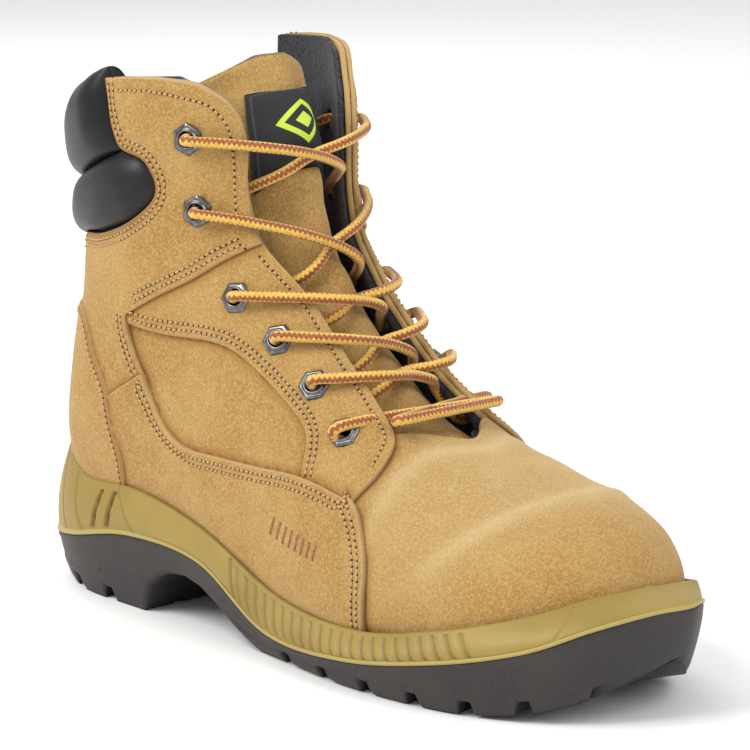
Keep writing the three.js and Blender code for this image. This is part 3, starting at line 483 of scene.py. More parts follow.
tip_film, tree, shader = new_material("tip_film", 0.25)
shader.inputs["Base Color"].default_value = (0.55, 0.36, 0.12, 1)
shader.inputs["Coat Weight"].default_value = 0.6
bump(tree, shader, noise(tree, 1.5), 0.1, 0.4)
AGLET_LENGTH, AGLET_RADIUS, AGLET_SIDES = 18, 2.1, 20
for side, end, before in (("lateral", lace_line[0], lace_line[3]),
                          ("medial", lace_line[-1], lace_line[-4])):
    down = unit(end - before)
    at = np.array([0, 0.02, 0.06, 0.5, 0.94, 0.98, 1])
    girth = np.array([0.9, 0.98, 1, 0.97, 0.93, 0.86, 0.72])
    middle = end + (0.3 + at * AGLET_LENGTH)[:, None] * down
    across = unit(np.cross(down, [1.0, 0, 0]))
    other = np.cross(down, across)
    turns = np.arange(AGLET_SIDES) * 2 * math.pi / AGLET_SIDES
    rings = middle[:, None] + AGLET_RADIUS * girth[:, None, None] * (
        np.cos(turns)[:, None] * across + np.sin(turns)[:, None] * other)
    make_piece("lace_tip_" + side, *ring_shell(rings), tip_film, "boot",
                           "aglet_plastic", ["aglet_" + side])

# ---------------------------------------------------------------- the sole's lines
# From toe tip to heel: x, the outline's outer and inner y, then the heights of the tread, the
# line between outsole and midsole, the midsole's rim and the floor under the foot.
SOLE = np.array([
    [152, 0, 0, 20, 37.5, 42, 30],
    [148.5, -13, 10, 16, 37, 41.5, 30],
    [138, -30, 22, 9, 32.5, 40, 28],
    [120, -44.5, 37, 3, 24, 34.5, 23],
    [90, -55.5, 50.5, 0, 16.5, 27, 17],
    [50, -58.5, 54.5, 0, 10, 19.5, 14],
    [5, -52.5, 45, 0, 9, 22.5, 19],
    [-35, -48, 41, 0, 25.5, 36.5, 26.5],
    [-75, -46, 43, 0, 27.5, 43.5, 30],
    [-110, -43, 42, 0, 21, 42, 31],
    [-134, -31, 31, 0, 16.5, 47, 32],
    [-147, -16, 16, 1, 14.5, 51, 32],
    [-152, 0, 0, 2, 14.2, 52, 32],
])
SOLE_SAMPLES = 1240


def sole_loop(count):
    """The sole's closed outline and the values of its table round it: down the outer side and
    back up the inner one as one periodic Catmull-Rom curve, spaced evenly by length."""
    outer_side = np.delete(SOLE, 2, 1)
    inner_side = np.delete(SOLE, 1, 1)[-2:0:-1]
    knots = np.vstack([outer_side, inner_side])
    wrapped = np.vstack([knots[-2:], knots, knots[:3]])
    at = np.linspace(2, 2 + len(knots), 40 * len(knots), endpoint=False)
    loop = smooth_rows(wrapped, at)
    closed = np.vstack([loop, loop[:1]])
    step = np.linalg.norm(np.diff(closed[:, :2], axis=0), axis=1)
    travelled = np.concatenate([[0], np.cumsum(step)])
    even = np.linspace(0, travelled[-1], count, endpoint=False)
    loop = np.stack([np.interp(even, travelled, column) for column in closed.T], -1)
    loop[:, 1] += MIDDLE_Y
    loop[:, 2] = np.maximum(loop[:, 2], 0)
    ahead = unit(np.roll(loop[:, :2], -3, 0) - np.roll(loop[:, :2], 3, 0))
    return loop, np.stack([ahead[:, 1], -ahead[:, 0]], -1)


sole, sole_side = sole_loop(SOLE_SAMPLES)
if (sole_side[0] @ [1, 0]) < 0:
    sole_side = -sole_side
sole_x, _, tread, line, rim, foot_floor = sole.T


def sole_ring(inset, height):
    """A ring of the sole: the outline moved inwards, at a height; both may vary round it."""
    flat = sole[:, :2] - sole_side * np.broadcast_to(inset, len(sole))[:, None]
    return np.column_stack([flat, np.broadcast_to(height, len(sole))])


def towards_spine(ring, share, height):
    """A ring drawn in towards the sole's middle line by a share, at a height."""
    middle = np.column_stack([ring[:, 0] * 0.93, np.full(len(ring), MIDDLE_Y * 0.4)])
    flat = ring[:, :2] + (middle - ring[:, :2]) * share
    return np.column_stack([flat, height])

# ---------------------------------------------------------------- outsole
# Dark rubber, moulded in one piece: lugs cut by cross grooves, an arch before the heel block, a
# smooth wall that leans in towards the ground, and a high bumper round the toe.
FOREPART_GROOVES = (118, 97, 76, 55, 34, 13)
HEEL_GROOVES = (-92, -112, -132)
GROOVE_HALF, GROOVE_DEPTH, CENTRE_RIB, TAPER = 2.8, 5.0, 6.0, 5.0
ARCH = np.array([[-73, 0], [-71, 3], [-67, 11], [-62, 15], [-55, 18.2], [-45, 19], [-36, 17],
                 [-28, 13], [-18, 7.6], [-9, 2.6], [-4, 0]])


def smooth_step(low, high, value):
    """0 under low, 1 over high, and smooth between."""
    share = np.clip((value - low) / (high - low), 0, 1)
    return share * share * (3 - 2 * share)


def groove_share(x, y):
    """How far into a groove a point of the tread lies, 0 to 1: each groove is a trough across
    the boot that bends forward towards the sides and stops at the centre rib, and a zigzag
    channel runs along each side of the rib."""
    y = y - MIDDLE_Y
    share = np.zeros_like(x)
    for centre in (*FOREPART_GROOVES, *HEEL_GROOVES):
        off = np.abs(x - centre - 3 * np.cos(np.abs(y) / 9))
        share = np.maximum(share, 1 - smooth_step(GROOVE_HALF - 0.8, GROOVE_HALF + 0.6, off))
    share *= smooth_step(CENTRE_RIB, CENTRE_RIB + 1.5, np.abs(y))
    channel = np.abs(np.abs(y) - 22 - 3 * np.sin(x / 6.5))
    return np.maximum(share, 0.8 * (1 - smooth_step(1.2, 2.4, channel)))


def tread_height(x, y, ground):
    """The tread: the ground line, raised in the grooves and under the arch."""
    arch = np.interp(x, *ARCH.T) * ((x > ARCH[0, 0]) & (x < ARCH[-1, 0]))
    return np.maximum(ground + GROOVE_DEPTH * groove_share(x, y) * (arch < 1), arch)


foot = sole_ring(TAPER, tread)
under = [towards_spine(foot, share, 0 * tread) for share in np.linspace(0.985, 0.012, 64)]
for ring in under:
    ring[:, 2] = tread_height(ring[:, 0], ring[:, 1], tread)
edge_height = tread_height(foot[:, 0], foot[:, 1], tread)
wall = []
for share in np.concatenate([[0, 0.03, 0.07, 0.12, 0.18], np.linspace(0.25, 0.94, 15), [1]]):
    height = edge_height + share * (line - edge_height)
    over_tread = np.clip((height - tread) / (line - tread), 0, 1)
    inset = TAPER * (1 - over_tread) ** 1.6 + 0.7 * (1 - smooth_step(0, 0.1, share))
    panel = smooth_step(0.42, 0.5, over_tread) * (1 - smooth_step(0.86, 0.93, over_tread))
    inset = inset + 0.55 * panel * (sole_x < 112)
    wall.append(sole_ring(inset, height))
lip = [sole_ring(0.25, line + 0.35), sole_ring(1.2, line + 0.4), sole_ring(6, line - 1.0),
       towards_spine(sole_ring(6, line), 0.9, line - 4.0)]
outsole_rings = np.array([*under, *wall, *lip])

outsole_rubber, tree, shader = new_material("outsole_rubber", 0.62)
grain = noise(tree, 0.9, 3)
cloud = noise(tree, 26, 2)
tone = blend_colour(tree, ramp(tree, cloud, 0.35, 0.7), (0.0174, 0.0143, 0.0136),
                    (0.0273, 0.0223, 0.0205))
tree.links.new(blend_colour(tree, ramp(tree, grain, 0.45, 0.75), tone, (0.0341, 0.0285, 0.0273)),
               shader.inputs["Base Color"])
tree.links.new(math_node(tree, "MULTIPLY_ADD", grain, 0.3, 0.42), shader.inputs["Roughness"])
bump(tree, shader, grain, 0.12, 0.6)
make_piece("outsole_moulding", *ring_shell(outsole_rings), outsole_rubber, "boot",
           "outsole_rubber", ["outsole"])

# ---------------------------------------------------------------- midsole
# Olive polyurethane, moulded round the foot of the upper and on to the outsole: a thin lip over
# the outsole, ribs along the forepart, slanted grooves and two slots on the heel wrap, a parting
# notch at the waist and a plain rounded band at the toe.
LEATHER_FACE = 2.5


def newton(error, found, rounds, least, most):
    """Pairs of section and angle at which a pair of errors is nothing, by Newton's method: the
    errors' slopes give two straight lines, and their crossing the change, held to a most. The
    slopes' cross product is kept from falling under a least."""
    step = 1e-3
    for _ in range(rounds):
        off = error(found)
        by_section, by_angle = ((error(found + d) - off) / step
                                for d in (np.array([step, 0]), np.array([0, step])))
        size = by_section[:, 0] * by_angle[:, 1] - by_section[:, 1] * by_angle[:, 0]
        size = np.where(np.abs(size) < least, least, size)
        change = np.stack([(off[:, 1] * by_angle[:, 0] - off[:, 0] * by_angle[:, 1]) / size,
                           (off[:, 0] * by_section[:, 1] - off[:, 1] * by_section[:, 0]) / size],
                          -1)
        found = found + np.clip(change, -most, most)
    return found


def where_skin_meets(height_line, out):
    """The section and angle at which the leather passes a height straight in from each sample
    of the sole's outline, from the nearest point of a coarse grid."""
    sections = np.linspace(0.3, 17, 150)
    angles = np.linspace(-math.pi, math.pi, 160)
    grid_s, grid_a = (g.ravel() for g in np.meshgrid(sections, angles, indexing="ij"))
    grid = above(grid_s, grid_a, np.full(grid_s.shape, out))
    ahead = np.stack([-sole_side[:, 1], sole_side[:, 0]], -1)
    found = np.zeros((len(sole), 2))
    for i in range(len(sole)):
        off = grid[:, :2] - sole[i, :2]
        inward = -(off @ sole_side[i])
        miss = ((off @ ahead[i]) ** 2 + (grid[:, 2] - height_line[i]) ** 2
                + 1e4 * ((inward < -6) | (inward > 32)))
        k = int(np.argmin(miss))
        found[i] = grid_s[k], grid_a[k]

    def error(at):
        """How far a point of the leather lies across from its sample, and over its height."""
        point = above(at[:, 0], at[:, 1], np.full(len(at), out))
        across = np.einsum("ij,ij->i", point[:, :2] - sole[:, :2], ahead)
        return np.stack([across, point[:, 2] - height_line], -1)

    return newton(error, found, 7, 1e-3, 0.25)


def even_out(values, reach):
    """A closed line of numbers averaged over its neighbours."""
    kernel = np.hanning(2 * reach + 3)[1:-1]
    kernel /= kernel.sum()
    wrapped = np.concatenate([values[-reach:], values, values[:reach]])
    return np.convolve(wrapped, kernel, "valid")


rim_at = where_skin_meets(rim, LEATHER_FACE)
rim_inner = above(rim_at[:, 0], rim_at[:, 1], np.full(len(sole), LEATHER_FACE - 0.3))
rim_inner = np.stack([even_out(column, 9) for column in rim_inner.T], -1)
rim_gap = -np.einsum("ij,ij->i", rim_inner[:, :2] - sole[:, :2], sole_side)


def trough(value, centre, half, soft=0.5):
    """1 inside a trough of a half width, and 0 outside it."""
    return 1 - smooth_step(half - soft, half + soft, np.abs(value - centre))


def midsole_relief(share):
    """How far the wall stands back at a share of its height: ribs as rounded cords that lean,
    slots, grooves and the parting notch as troughs whose place moves with the height."""
    slant = sole_x + 7 * (share - 0.5)
    ribs = np.abs(np.sin(math.pi * (slant + 12) / 5.4)) ** 0.6
    ribbed = (smooth_step(-14, -11, slant) * (1 - smooth_step(100, 108, slant))
              * smooth_step(0.12, 0.2, share) * (1 - smooth_step(0.9, 0.97, share)))
    relief = 1.25 * ribbed * (1 - ribs)
    relief += 1.1 * trough(slant, -15.5, 0.7) * smooth_step(0.05, 0.15, share)
    tall = smooth_step(0.14, 0.2, share) * (1 - smooth_step(0.84, 0.9, share))
    for centre in (-89, -97.5):
        relief += 2.4 * tall * trough(sole_x - 2 * share, centre, 1.1)
    leaning = sole_x + 16 * (share - 0.5)
    for centre in (-79, -110, -124, -138):
        relief += 0.9 * trough(leaning, centre, 0.45) * smooth_step(0.08, 0.14, share)
    relief += 0.5 * trough(sole_x - 6 * share, 128, 0.5) * smooth_step(0.2, 0.3, share)
    return relief


def midsole_wall(share, standing_back=0.0):
    """The wall between the outsole's line and the rim, at a share of its height: it runs from
    the outline to just outside the leather, and swells a little between."""
    top_inset = np.maximum(rim_gap - 2.4, 0.4)
    inset = 0.5 + (top_inset - 0.5) * share ** 1.5
    swell = 0.9 * np.sin(math.pi * share) + 0.06 * rim_gap * np.sin(math.pi * share)
    return sole_ring(inset - swell + standing_back, line + share * (rim - line))


bead = [sole_ring(6.2, line - 0.6), sole_ring(0.9, line + 0.45), sole_ring(-0.1, line + 0.5),
        sole_ring(-0.45, line + 0.9), sole_ring(-0.45, line + 1.5), sole_ring(-0.1, line + 2.0)]
levels = np.concatenate([[0.13, 0.145], np.linspace(0.16, 0.92, 30), [0.95, 0.975]])
sides = [midsole_wall(share, midsole_relief(share)) for share in levels]
outer_top = midsole_wall(1.0)
round_over = [outer_top + (rim_inner - outer_top) * share + [0, 0, lift]
              for share, lift in ((0.12, 0.35), (0.35, 0.6), (0.7, 0.45), (0.92, -0.1),
                                  (1.0, -0.9))]
low_at = where_skin_meets(np.maximum(rim - 4, foot_floor + 0.4), 0.5)
inner_low = above(low_at[:, 0], low_at[:, 1], np.full(len(sole), 0.4))
inner_low = np.stack([even_out(column, 9) for column in inner_low.T], -1)
floor_ring = np.column_stack([inner_low[:, :2] - 2.0 * sole_side, foot_floor - 0.3])
hollow = [inner_low, floor_ring, towards_spine(floor_ring, 0.5, foot_floor - 0.3),
          towards_spine(floor_ring, 0.9, foot_floor - 0.3)]
start = [towards_spine(sole_ring(6.2, line), 0.9, line - 3.6)]
midsole_rings = np.array([*start, *bead, *sides, *round_over, *hollow])


def field(tree, name):
    """A number kept on the mesh."""
    return put(tree, "ShaderNodeAttribute", attribute_name=name).outputs["Fac"]


midsole_foam, tree, shader = new_material("midsole_foam", 0.5)
shader.inputs["Specular IOR Level"].default_value = 0.4
cloud = noise(tree, 34, 2)
tone = blend_colour(tree, ramp(tree, cloud, 0.3, 0.75), (0.248, 0.171, 0.034),
                    (0.310, 0.219, 0.049))
speck = noise(tree, 0.6, 2)
tone = blend_colour(tree, ramp(tree, speck, 0.6, 0.8), tone, (0.347, 0.252, 0.070))
lip_share = field(tree, "lip")
# painted shade: darker in the rib valleys, grooves, slots and notch, by how deep each is
recess_shade = field(tree, "recess_shade")
tone = blend_colour(tree, lip_share, tone, (0.37, 0.285, 0.088))
tree.links.new(blend_colour(tree, recess_shade, tone, (0.17, 0.105, 0.022)), shader.inputs["Base Color"])
bump(tree, shader, speck, 0.06, 0.5)
counts = [len(start), len(bead), len(sides), len(round_over), len(hollow)]
lip_rings = np.repeat([0.0, 1.0, 0.0, 0.0, 0.0], counts)
lip_field = np.repeat(lip_rings, len(sole))
# painted shade share at each point: how deep the relief sinks the wall there
recess_shade_field = np.concatenate([
    np.zeros((counts[0] + counts[1]) * len(sole)),
    *[np.clip(midsole_relief(share) / 1.4 - 0.12, 0, 0.85) for share in levels],
    np.zeros((counts[3] + counts[4]) * len(sole))])
points, faces = ring_shell(midsole_rings)
make_piece("midsole_moulding", points, faces, midsole_foam, "boot", "midsole_foam", ["midsole"],
           fields={"lip": np.append(lip_field, [0, 0]), "recess_shade": np.append(recess_shade_field, [0, 0])})

# ---------------------------------------------------------------- suede
# Wheat-coloured split leather with a brushed nap: a fine fibre grain, soft clouds, darker near
# another panel's edge where it presses on it, as burnish and painted shade, with a painted shadow
# line right along that edge, and paler along its own cut edges.
def suede_group():
    """The nap as a node group: fibre grain, clouds, a burnish with painted shade and a painted
    shadow line by distance from a covering panel's edge, a paler rim by distance from the piece's
    own edge, and from the Crease input worn paleness with a painted highlight."""
    group = bpy.data.node_groups.new("suede_nap", "ShaderNodeTree")
    for name in ("Edge", "Seam", "Crease"):
        group.interface.new_socket(name, in_out="INPUT", socket_type="NodeSocketFloat")
    group.interface.new_socket("Colour", in_out="OUTPUT", socket_type="NodeSocketColor")
    group.interface.new_socket("Height", in_out="OUTPUT", socket_type="NodeSocketFloat")
    taken = put(group, "NodeGroupInput")
    given = put(group, "NodeGroupOutput")
    fibre = noise(group, 0.42, 3, roughness=0.7)
    grain = noise(group, 1.05, 2, roughness=0.6)
    patch = noise(group, 7, 2)
    cloud = noise(group, 30, 2)
    base = blend_colour(group, ramp(group, cloud, 0.35, 0.68), (0.364, 0.206, 0.058),
                        (0.441, 0.279, 0.097))
    base = blend_colour(group, math_node(group, "MULTIPLY", ramp(group, patch, 0.5, 0.72), 0.35),
                        base, (0.504, 0.343, 0.136))
    base = blend_colour(group, math_node(group, "MULTIPLY", ramp(group, grain, 0.42, 0.60), 0.62),
                        base, (0.518, 0.362, 0.150))
    base = blend_colour(group, math_node(group, "MULTIPLY", ramp(group, fibre, 0.58, 0.42), 0.60),
                        base, (0.231, 0.112, 0.025))
    # burnish and painted shade: darker within 4.5 mm of a covering panel's edge
    pressed = math_node(group, "MULTIPLY", ramp(group, taken.outputs["Seam"], 4.5, 0.0), 0.62)
    base = blend_colour(group, pressed, base, (0.280, 0.127, 0.028))
    # painted shadow line: dark right along a covering panel's edge, where its step throws shade
    line = math_node(group, "MULTIPLY", ramp(group, taken.outputs["Seam"], 1.5, 0.3), 0.6)
    base = blend_colour(group, line, base, (0.185, 0.062, 0.012))
    cut = math_node(group, "MULTIPLY", ramp(group, taken.outputs["Edge"], 0.9, 0.25), 0.6)
    base = blend_colour(group, cut, base, (0.462, 0.316, 0.140))
    # wear and painted highlight: paler on the vamp's raised lines and over its top
    wear_and_highlight = math_node(group, "MULTIPLY", taken.outputs["Crease"], 0.6)
    base = blend_colour(group, wear_and_highlight, base, (0.602, 0.493, 0.266))
    group.links.new(base, given.inputs["Colour"])
    group.links.new(math_node(group, "MULTIPLY_ADD", grain, 0.6,
                              math_node(group, "MULTIPLY", fibre, 0.4)), given.inputs["Height"])
    return group


suede_nap = suede_group()
suede, tree, shader = new_material("suede", 0.95)
shader.inputs["Specular IOR Level"].default_value = 0.2
shader.inputs["Sheen Weight"].default_value = 0.22
shader.inputs["Sheen Roughness"].default_value = 0.45
shader.inputs["Sheen Tint"].default_value = (1.0, 0.82, 0.60, 1)
nap = put(tree, "ShaderNodeGroup", node_tree=suede_nap)
for name in ("Edge", "Seam", "Crease"):
    tree.links.new(field(tree, name.lower()), nap.inputs[name])
tree.links.new(nap.outputs["Colour"], shader.inputs["Base Color"])
bump(tree, shader, nap.outputs["Height"], 0.35, 0.8)

# The upper's panels are cut from flat leather: an outline on the last, filled with points,
# a thickness, and rounded edges. Charts are pairs of section and angle; their lengths are taken
# at one height over the last, and the scale makes them about millimetres.
CHART_SCALE = np.array([22.0, 43.0])
CHART_HEIGHT = 2.4
SIDES = (("lateral", -1), ("medial", 1))


def on_side(*points):
    """Side-view points, x and z in millimetres, as a chart on the last's outer half, found from
    the nearest point of a coarse grid; the angle comes out positive."""
    sections, angles = np.meshgrid(np.linspace(7, 20.4, 200), np.linspace(0.1, 3.1, 150),
                                   indexing="ij")
    grid = above(sections, -angles, np.full(sections.shape, CHART_HEIGHT))
    grid = grid[..., [0, 2]].reshape(-1, 2)
    target = np.asarray(points, float)
    k = np.argmin(((grid[None] - target[:, None]) ** 2).sum(-1), 1)
    found = np.stack([sections.ravel()[k], angles.ravel()[k]], -1)

    def miss(at):
        """How far a point of the leather lies from its target, seen from the side."""
        return above(at[:, 0], -at[:, 1], np.full(len(at), CHART_HEIGHT))[:, [0, 2]] - target

    return newton(miss, found, 6, 1, 0.15)


def bent(points, per_step=7):
    """A chart's points joined by a smooth curve."""
    return smooth_line(np.asarray(points, float), per_step)


def inside(points, loop):
    """Which points lie in a closed loop, by counting the edges that a ray crosses."""
    x, y = points[:, :1], points[:, 1:]
    (x0, y0), (x1, y1) = loop.T, np.roll(loop, -1, 0).T
    crossed = (y0 > y) != (y1 > y)
    rise = np.where(np.abs(y1 - y0) < 1e-12, 1e-12, y1 - y0)
    return (crossed & (x < x0 + (y - y0) / rise * (x1 - x0))).sum(1) % 2 == 1


def distance_to(points, line):
    """Each point's distance to the nearest point of a dense line."""
    nearest = np.full(len(points), 1e9)
    for start in range(0, len(line), 200):
        part = line[start:start + 200]
        gaps = np.linalg.norm(points[:, None] - part[None], axis=-1).min(1)
        nearest = np.minimum(nearest, gaps)
    return nearest


def on_leather(chart, height=CHART_HEIGHT):
    """A chart's points in space."""
    return above(chart[:, 0], chart[:, 1], np.full(len(chart), float(height)))


def spaced(chart, spacing=0.8, closed=False):
    """A chart's line re-spaced by its length in space."""
    ends = np.vstack([chart, chart[:1]]) if closed else chart
    points = on_leather(ends)
    run = np.concatenate([[0], np.cumsum(np.linalg.norm(np.diff(points, axis=0), axis=1))])
    count = max(int(round(run[-1] / spacing)), 3)
    at = np.linspace(0, run[-1], count + 1)[:-1 if closed else None]
    return np.stack([np.interp(at, run, column) for column in ends.T], -1)


def shifted(chart, distance, closed=False):
    """A chart's line moved sideways over the last by a distance in millimetres, to its left as
    seen from outside: the step in space is turned into section and angle by the two slopes."""
    points = on_leather(chart)
    if closed:
        ahead = unit(np.roll(points, -1, 0) - np.roll(points, 1, 0))
    else:
        ahead = unit(np.gradient(points, axis=0))
    left = unit(np.cross(outward(chart[:, 0], chart[:, 1]), ahead)) * distance
    step = 1e-3
    by_section = (on_leather(chart + [step, 0]) - points) / step
    by_angle = (on_leather(chart + [0, step]) - points) / step
    ss, aa, sa = ((p * q).sum(-1) for p, q in ((by_section, by_section), (by_angle, by_angle),
                                               (by_section, by_angle)))
    s, a = (left * by_section).sum(-1), (left * by_angle).sum(-1)
    size = ss * aa - sa * sa
    return chart + np.stack([(s * aa - a * sa) / size, (a * ss - s * sa) / size], -1)


def eyelet_hole(number, sign, radius):
    """A round hole's loop in the chart, about an eyelet's centre."""
    section, angle = EYELETS[number, 0], sign * EYELETS[number, 1]
    centre = np.array([[section, angle]])
    step = 1e-3
    here = on_leather(centre)
    by_section = (on_leather(centre + [step, 0]) - here) / step
    by_angle = (on_leather(centre + [0, step]) - here) / step
    turns = np.arange(20) * 2 * math.pi / 20
    # the two slopes are nearly square to each other, so each takes its own share
    return centre + radius * np.stack([np.cos(turns) / np.linalg.norm(by_section),
                                       np.sin(turns) / np.linalg.norm(by_angle)], -1)


def cut_panel(name, outline, low, high, material, slot, stands_for=(), holes=(), seams=(),
              dips=(), relief=None, spacing=1.7, rounding=0.75, crease=None):
    """A panel of leather or lining. Its outline is a chart loop; low and high are its inner and
    outer heights, or functions of section and angle. Its outer face falls off round its edge as
    a quarter circle, dips along lines of stitching, and takes any relief given."""
    loop = spaced(outline, spacing * 0.62, closed=True)
    edge = on_leather(loop)
    hole_loops = [np.asarray(hole) for hole in holes]
    edges = np.vstack([edge, *[on_leather(hole) for hole in hole_loops]])
    chart_loop = loop * CHART_SCALE
    extra = []
    for depth in (0.22, 0.55, 1.0):
        for sign in (1, -1):
            ring = shifted(loop, sign * depth, closed=True)
            keep = inside(ring * CHART_SCALE, chart_loop)
            keep &= distance_to(on_leather(ring), edge) > 0.88 * depth
            extra.append(ring[keep])
    low_corner, high_corner = chart_loop.min(0), chart_loop.max(0)
    across, up = np.meshgrid(np.arange(low_corner[0], high_corner[0], spacing),
                             np.arange(low_corner[1], high_corner[1], spacing * 0.9))
    across[1::2] += spacing / 2
    fill = np.stack([across.ravel(), up.ravel()], -1)
    fill = fill[inside(fill, chart_loop)] / CHART_SCALE
    fill = fill[distance_to(on_leather(fill), edges) > 1.0 + spacing * 0.35]
    everything = np.vstack([loop, *hole_loops, *extra, fill])
    rims, start = [], 0
    for ring in (loop, *hole_loops):
        count = len(ring)
        rims += [(start + i, start + (i + 1) % count) for i in range(count)]
        start += count
    placed, _, faces, *_ = delaunay_2d_cdt(
        [Vector(p) for p in everything * CHART_SCALE], rims, [], 0, 1e-5, False)
    chart = np.array([tuple(p) for p in placed]) / CHART_SCALE
    faces = np.array(faces)
    middle = chart[faces].mean(1) * CHART_SCALE
    kept = inside(middle, chart_loop)
    for hole in hole_loops:
        kept &= ~inside(middle, hole * CHART_SCALE)
    faces = faces[kept]
    used, faces = np.unique(faces, return_inverse=True)
    faces = faces.reshape(-1, 3)
    chart = chart[used]
    section, angle = chart.T
    base = on_leather(chart)
    from_edge = distance_to(base, edges)
    low_height, high_height = (value(section, angle) if callable(value)
                               else np.full(len(chart), float(value)) for value in (low, high))
    fall = np.clip(1 - from_edge / rounding, 0, 1)
    top_height = high_height - rounding * (1 - np.sqrt(1 - fall ** 2))
    for dip_line, depth, reach in dips:
        gap = distance_to(base, on_leather(dip_line))
        top_height = top_height - depth * np.exp(-(gap / reach) ** 2)
    if relief is not None:
        top_height = top_height + relief(section, angle) * (1 - fall)
    top = above(section, angle, np.maximum(top_height, low_height + 0.3))
    bottom = above(section, angle, low_height)
    count = len(chart)
    directed = np.vstack([faces[:, [0, 1]], faces[:, [1, 2]], faces[:, [2, 0]]])
    keys = {(a, b) for a, b in directed.tolist()}
    rim = np.array([(a, b) for a, b in keys if (b, a) not in keys])
    walls = np.stack([rim[:, 1], rim[:, 0], rim[:, 0] + count, rim[:, 1] + count], -1)
    points = np.vstack([top, bottom])
    # distance to a covering panel's edge, which the suede darkens as burnish, painted shade and a
    # painted shadow line
    seam = np.full(count, 20.0)
    for seam_line in seams:
        seam = np.minimum(seam, distance_to(base, on_leather(seam_line)))
    fields = {"edge": np.concatenate([from_edge, np.zeros(count)]),
              "seam": np.concatenate([seam, np.full(count, 20.0)]),
              "crease": (np.zeros(2 * count) if crease is None
                         else np.concatenate([crease(section, angle), np.zeros(count)]))}
    return make_piece(name, points, facing_out(points, [faces, faces[:, ::-1] + count, walls]),
                      material, "boot", slot, stands_for, fields)


# The hem is the line at which the upper passes a depth under the midsole's rim, as a chart that
# runs round the boot like the sole's outline.
HEM_DEPTH = 6
hem_line = where_skin_meets(rim - HEM_DEPTH, 0.0)
hem_x = above(hem_line[:, 0], hem_line[:, 1], np.zeros(len(hem_line)))[:, 0]
outer_hem = (hem_line[:, 1] < 0)


def hem_part(sign, from_x, to_x):
    """The stretch of the hem on one side between two places along the boot."""
    mask = outer_hem if sign < 0 else ~outer_hem
    low, high = min(from_x, to_x), max(from_x, to_x)
    part = hem_line[mask & (hem_x > low) & (hem_x < high)]
    order = np.argsort(hem_x[mask & (hem_x > low) & (hem_x < high)])
    part = part[order if from_x < to_x else order[::-1]]
    return part[::6]


# Stitching is gathered here, row by row, as charts with a height, and sewn at the end.
stitch_rows = {"lateral": [], "medial": []}
ROW_DISTANCES = (2.3, 4.7)


def rows_beside(line, sign, side_name, height):
    """Two rows of stitching beside a panel's edge, inside it; returns their dips."""
    rows = [shifted(line, sign * distance) for distance in ROW_DISTANCES]
    stitch_rows[side_name] += [(row, height) for row in rows]
    return [(spaced(row), 0.34, 1.0) for row in rows]

# ---------------------------------------------------------------- inside the sole
# A steel shank stiffens the waist from a pocket of the midsole, and a stiff fibre insole board
# lies over it. A cupped foam footbed with a knitted top drops in loose on the board.
def plain_finish(name, colour, other, size, roughness, metallic=0.0, depth=0.1, stretch=None):
    """A finish of two tones mixed by noise, with a bump of the same noise."""
    material, tree, shader = new_material(name, roughness, metallic)
    place = put(tree, "ShaderNodeTexCoord").outputs["Object"]
    if stretch is not None:
        mapping = put(tree, "ShaderNodeMapping", Scale=stretch)
        tree.links.new(place, mapping.inputs["Vector"])
        place = mapping.outputs["Vector"]
    spread = noise(tree, size, 3, coordinates=place)
    tree.links.new(blend_colour(tree, ramp(tree, spread, 0.3, 0.7), colour, other),
                   shader.inputs["Base Color"])
    bump(tree, shader, spread, depth, 0.6)
    return material


def dress(node, material):
    """Gives a CAD node its finish."""
    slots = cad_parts[node].data.materials
    slots.clear()
    slots.append(material)


pressed_steel = plain_finish("pressed_steel", (0.42, 0.43, 0.45), (0.58, 0.59, 0.61), 1.2, 0.35,
                             1.0, 0.05, (0.12, 1, 1))
board_fibre = plain_finish("board_fibre", (0.36, 0.25, 0.14), (0.50, 0.38, 0.24), 1.6, 0.9)
dress("shank", pressed_steel)
dress("insole_board", board_fibre)

FOOTBED_REST = 2.6
footbed_at = where_skin_meets(foot_floor + FOOTBED_REST + 2, -7.6)
foot_edge = above(footbed_at[:, 0], footbed_at[:, 1], np.full(len(sole), -7.8))
foot_edge = np.stack([even_out(column, 12) for column in foot_edge.T], -1)[::4]
foot_rest = (foot_floor + FOOTBED_REST)[::4]


def footbed_ring(share, height):
    """A ring of the footbed, drawn in towards its middle line, at a height over its rest."""
    middle = np.column_stack([foot_edge[:, 0] * 0.9, np.full(len(foot_edge), 2.5)])
    flat = foot_edge[:, :2] + (middle - foot_edge[:, :2]) * share
    rest = np.interp(flat[:, 0], *np.unique(np.column_stack(
        [foot_edge[:, 0].round(1), foot_rest]), axis=0).T)
    return np.column_stack([flat, rest + height])


footbed_rings = [footbed_ring(share, 0.05) for share in (0.97, 0.6, 0.2, 0.02)]
footbed_rings += [footbed_ring(0, h) for h in (0.4, 1.6)]
footbed_rings += [footbed_ring(share, h) for share, h in (
    (0.0, 4.6), (0.004, 5.1), (0.015, 5.3), (0.04, 5.1), (0.08, 4.75), (0.15, 4.5), (0.3, 4.4),
    (0.6, 4.4), (0.97, 4.4))]
foot_knit, tree, shader = new_material("foot_knit", 0.9)
place = put(tree, "ShaderNodeTexCoord").outputs["Object"]
split = put(tree, "ShaderNodeSeparateXYZ")
tree.links.new(place, split.inputs["Vector"])
KNIT = 2 * math.pi / (1.3 * MM)
loops = math_node(tree, "MULTIPLY",
                  math_node(tree, "SINE", math_node(tree, "MULTIPLY", split.outputs["X"], KNIT)),
                  math_node(tree, "SINE", math_node(tree, "MULTIPLY", split.outputs["Y"], KNIT)))
tree.links.new(blend_colour(tree, ramp(tree, loops, -0.5, 0.6), (0.018, 0.020, 0.026),
                            (0.055, 0.060, 0.072)), shader.inputs["Base Color"])
bump(tree, shader, loops, 0.2, 0.7)
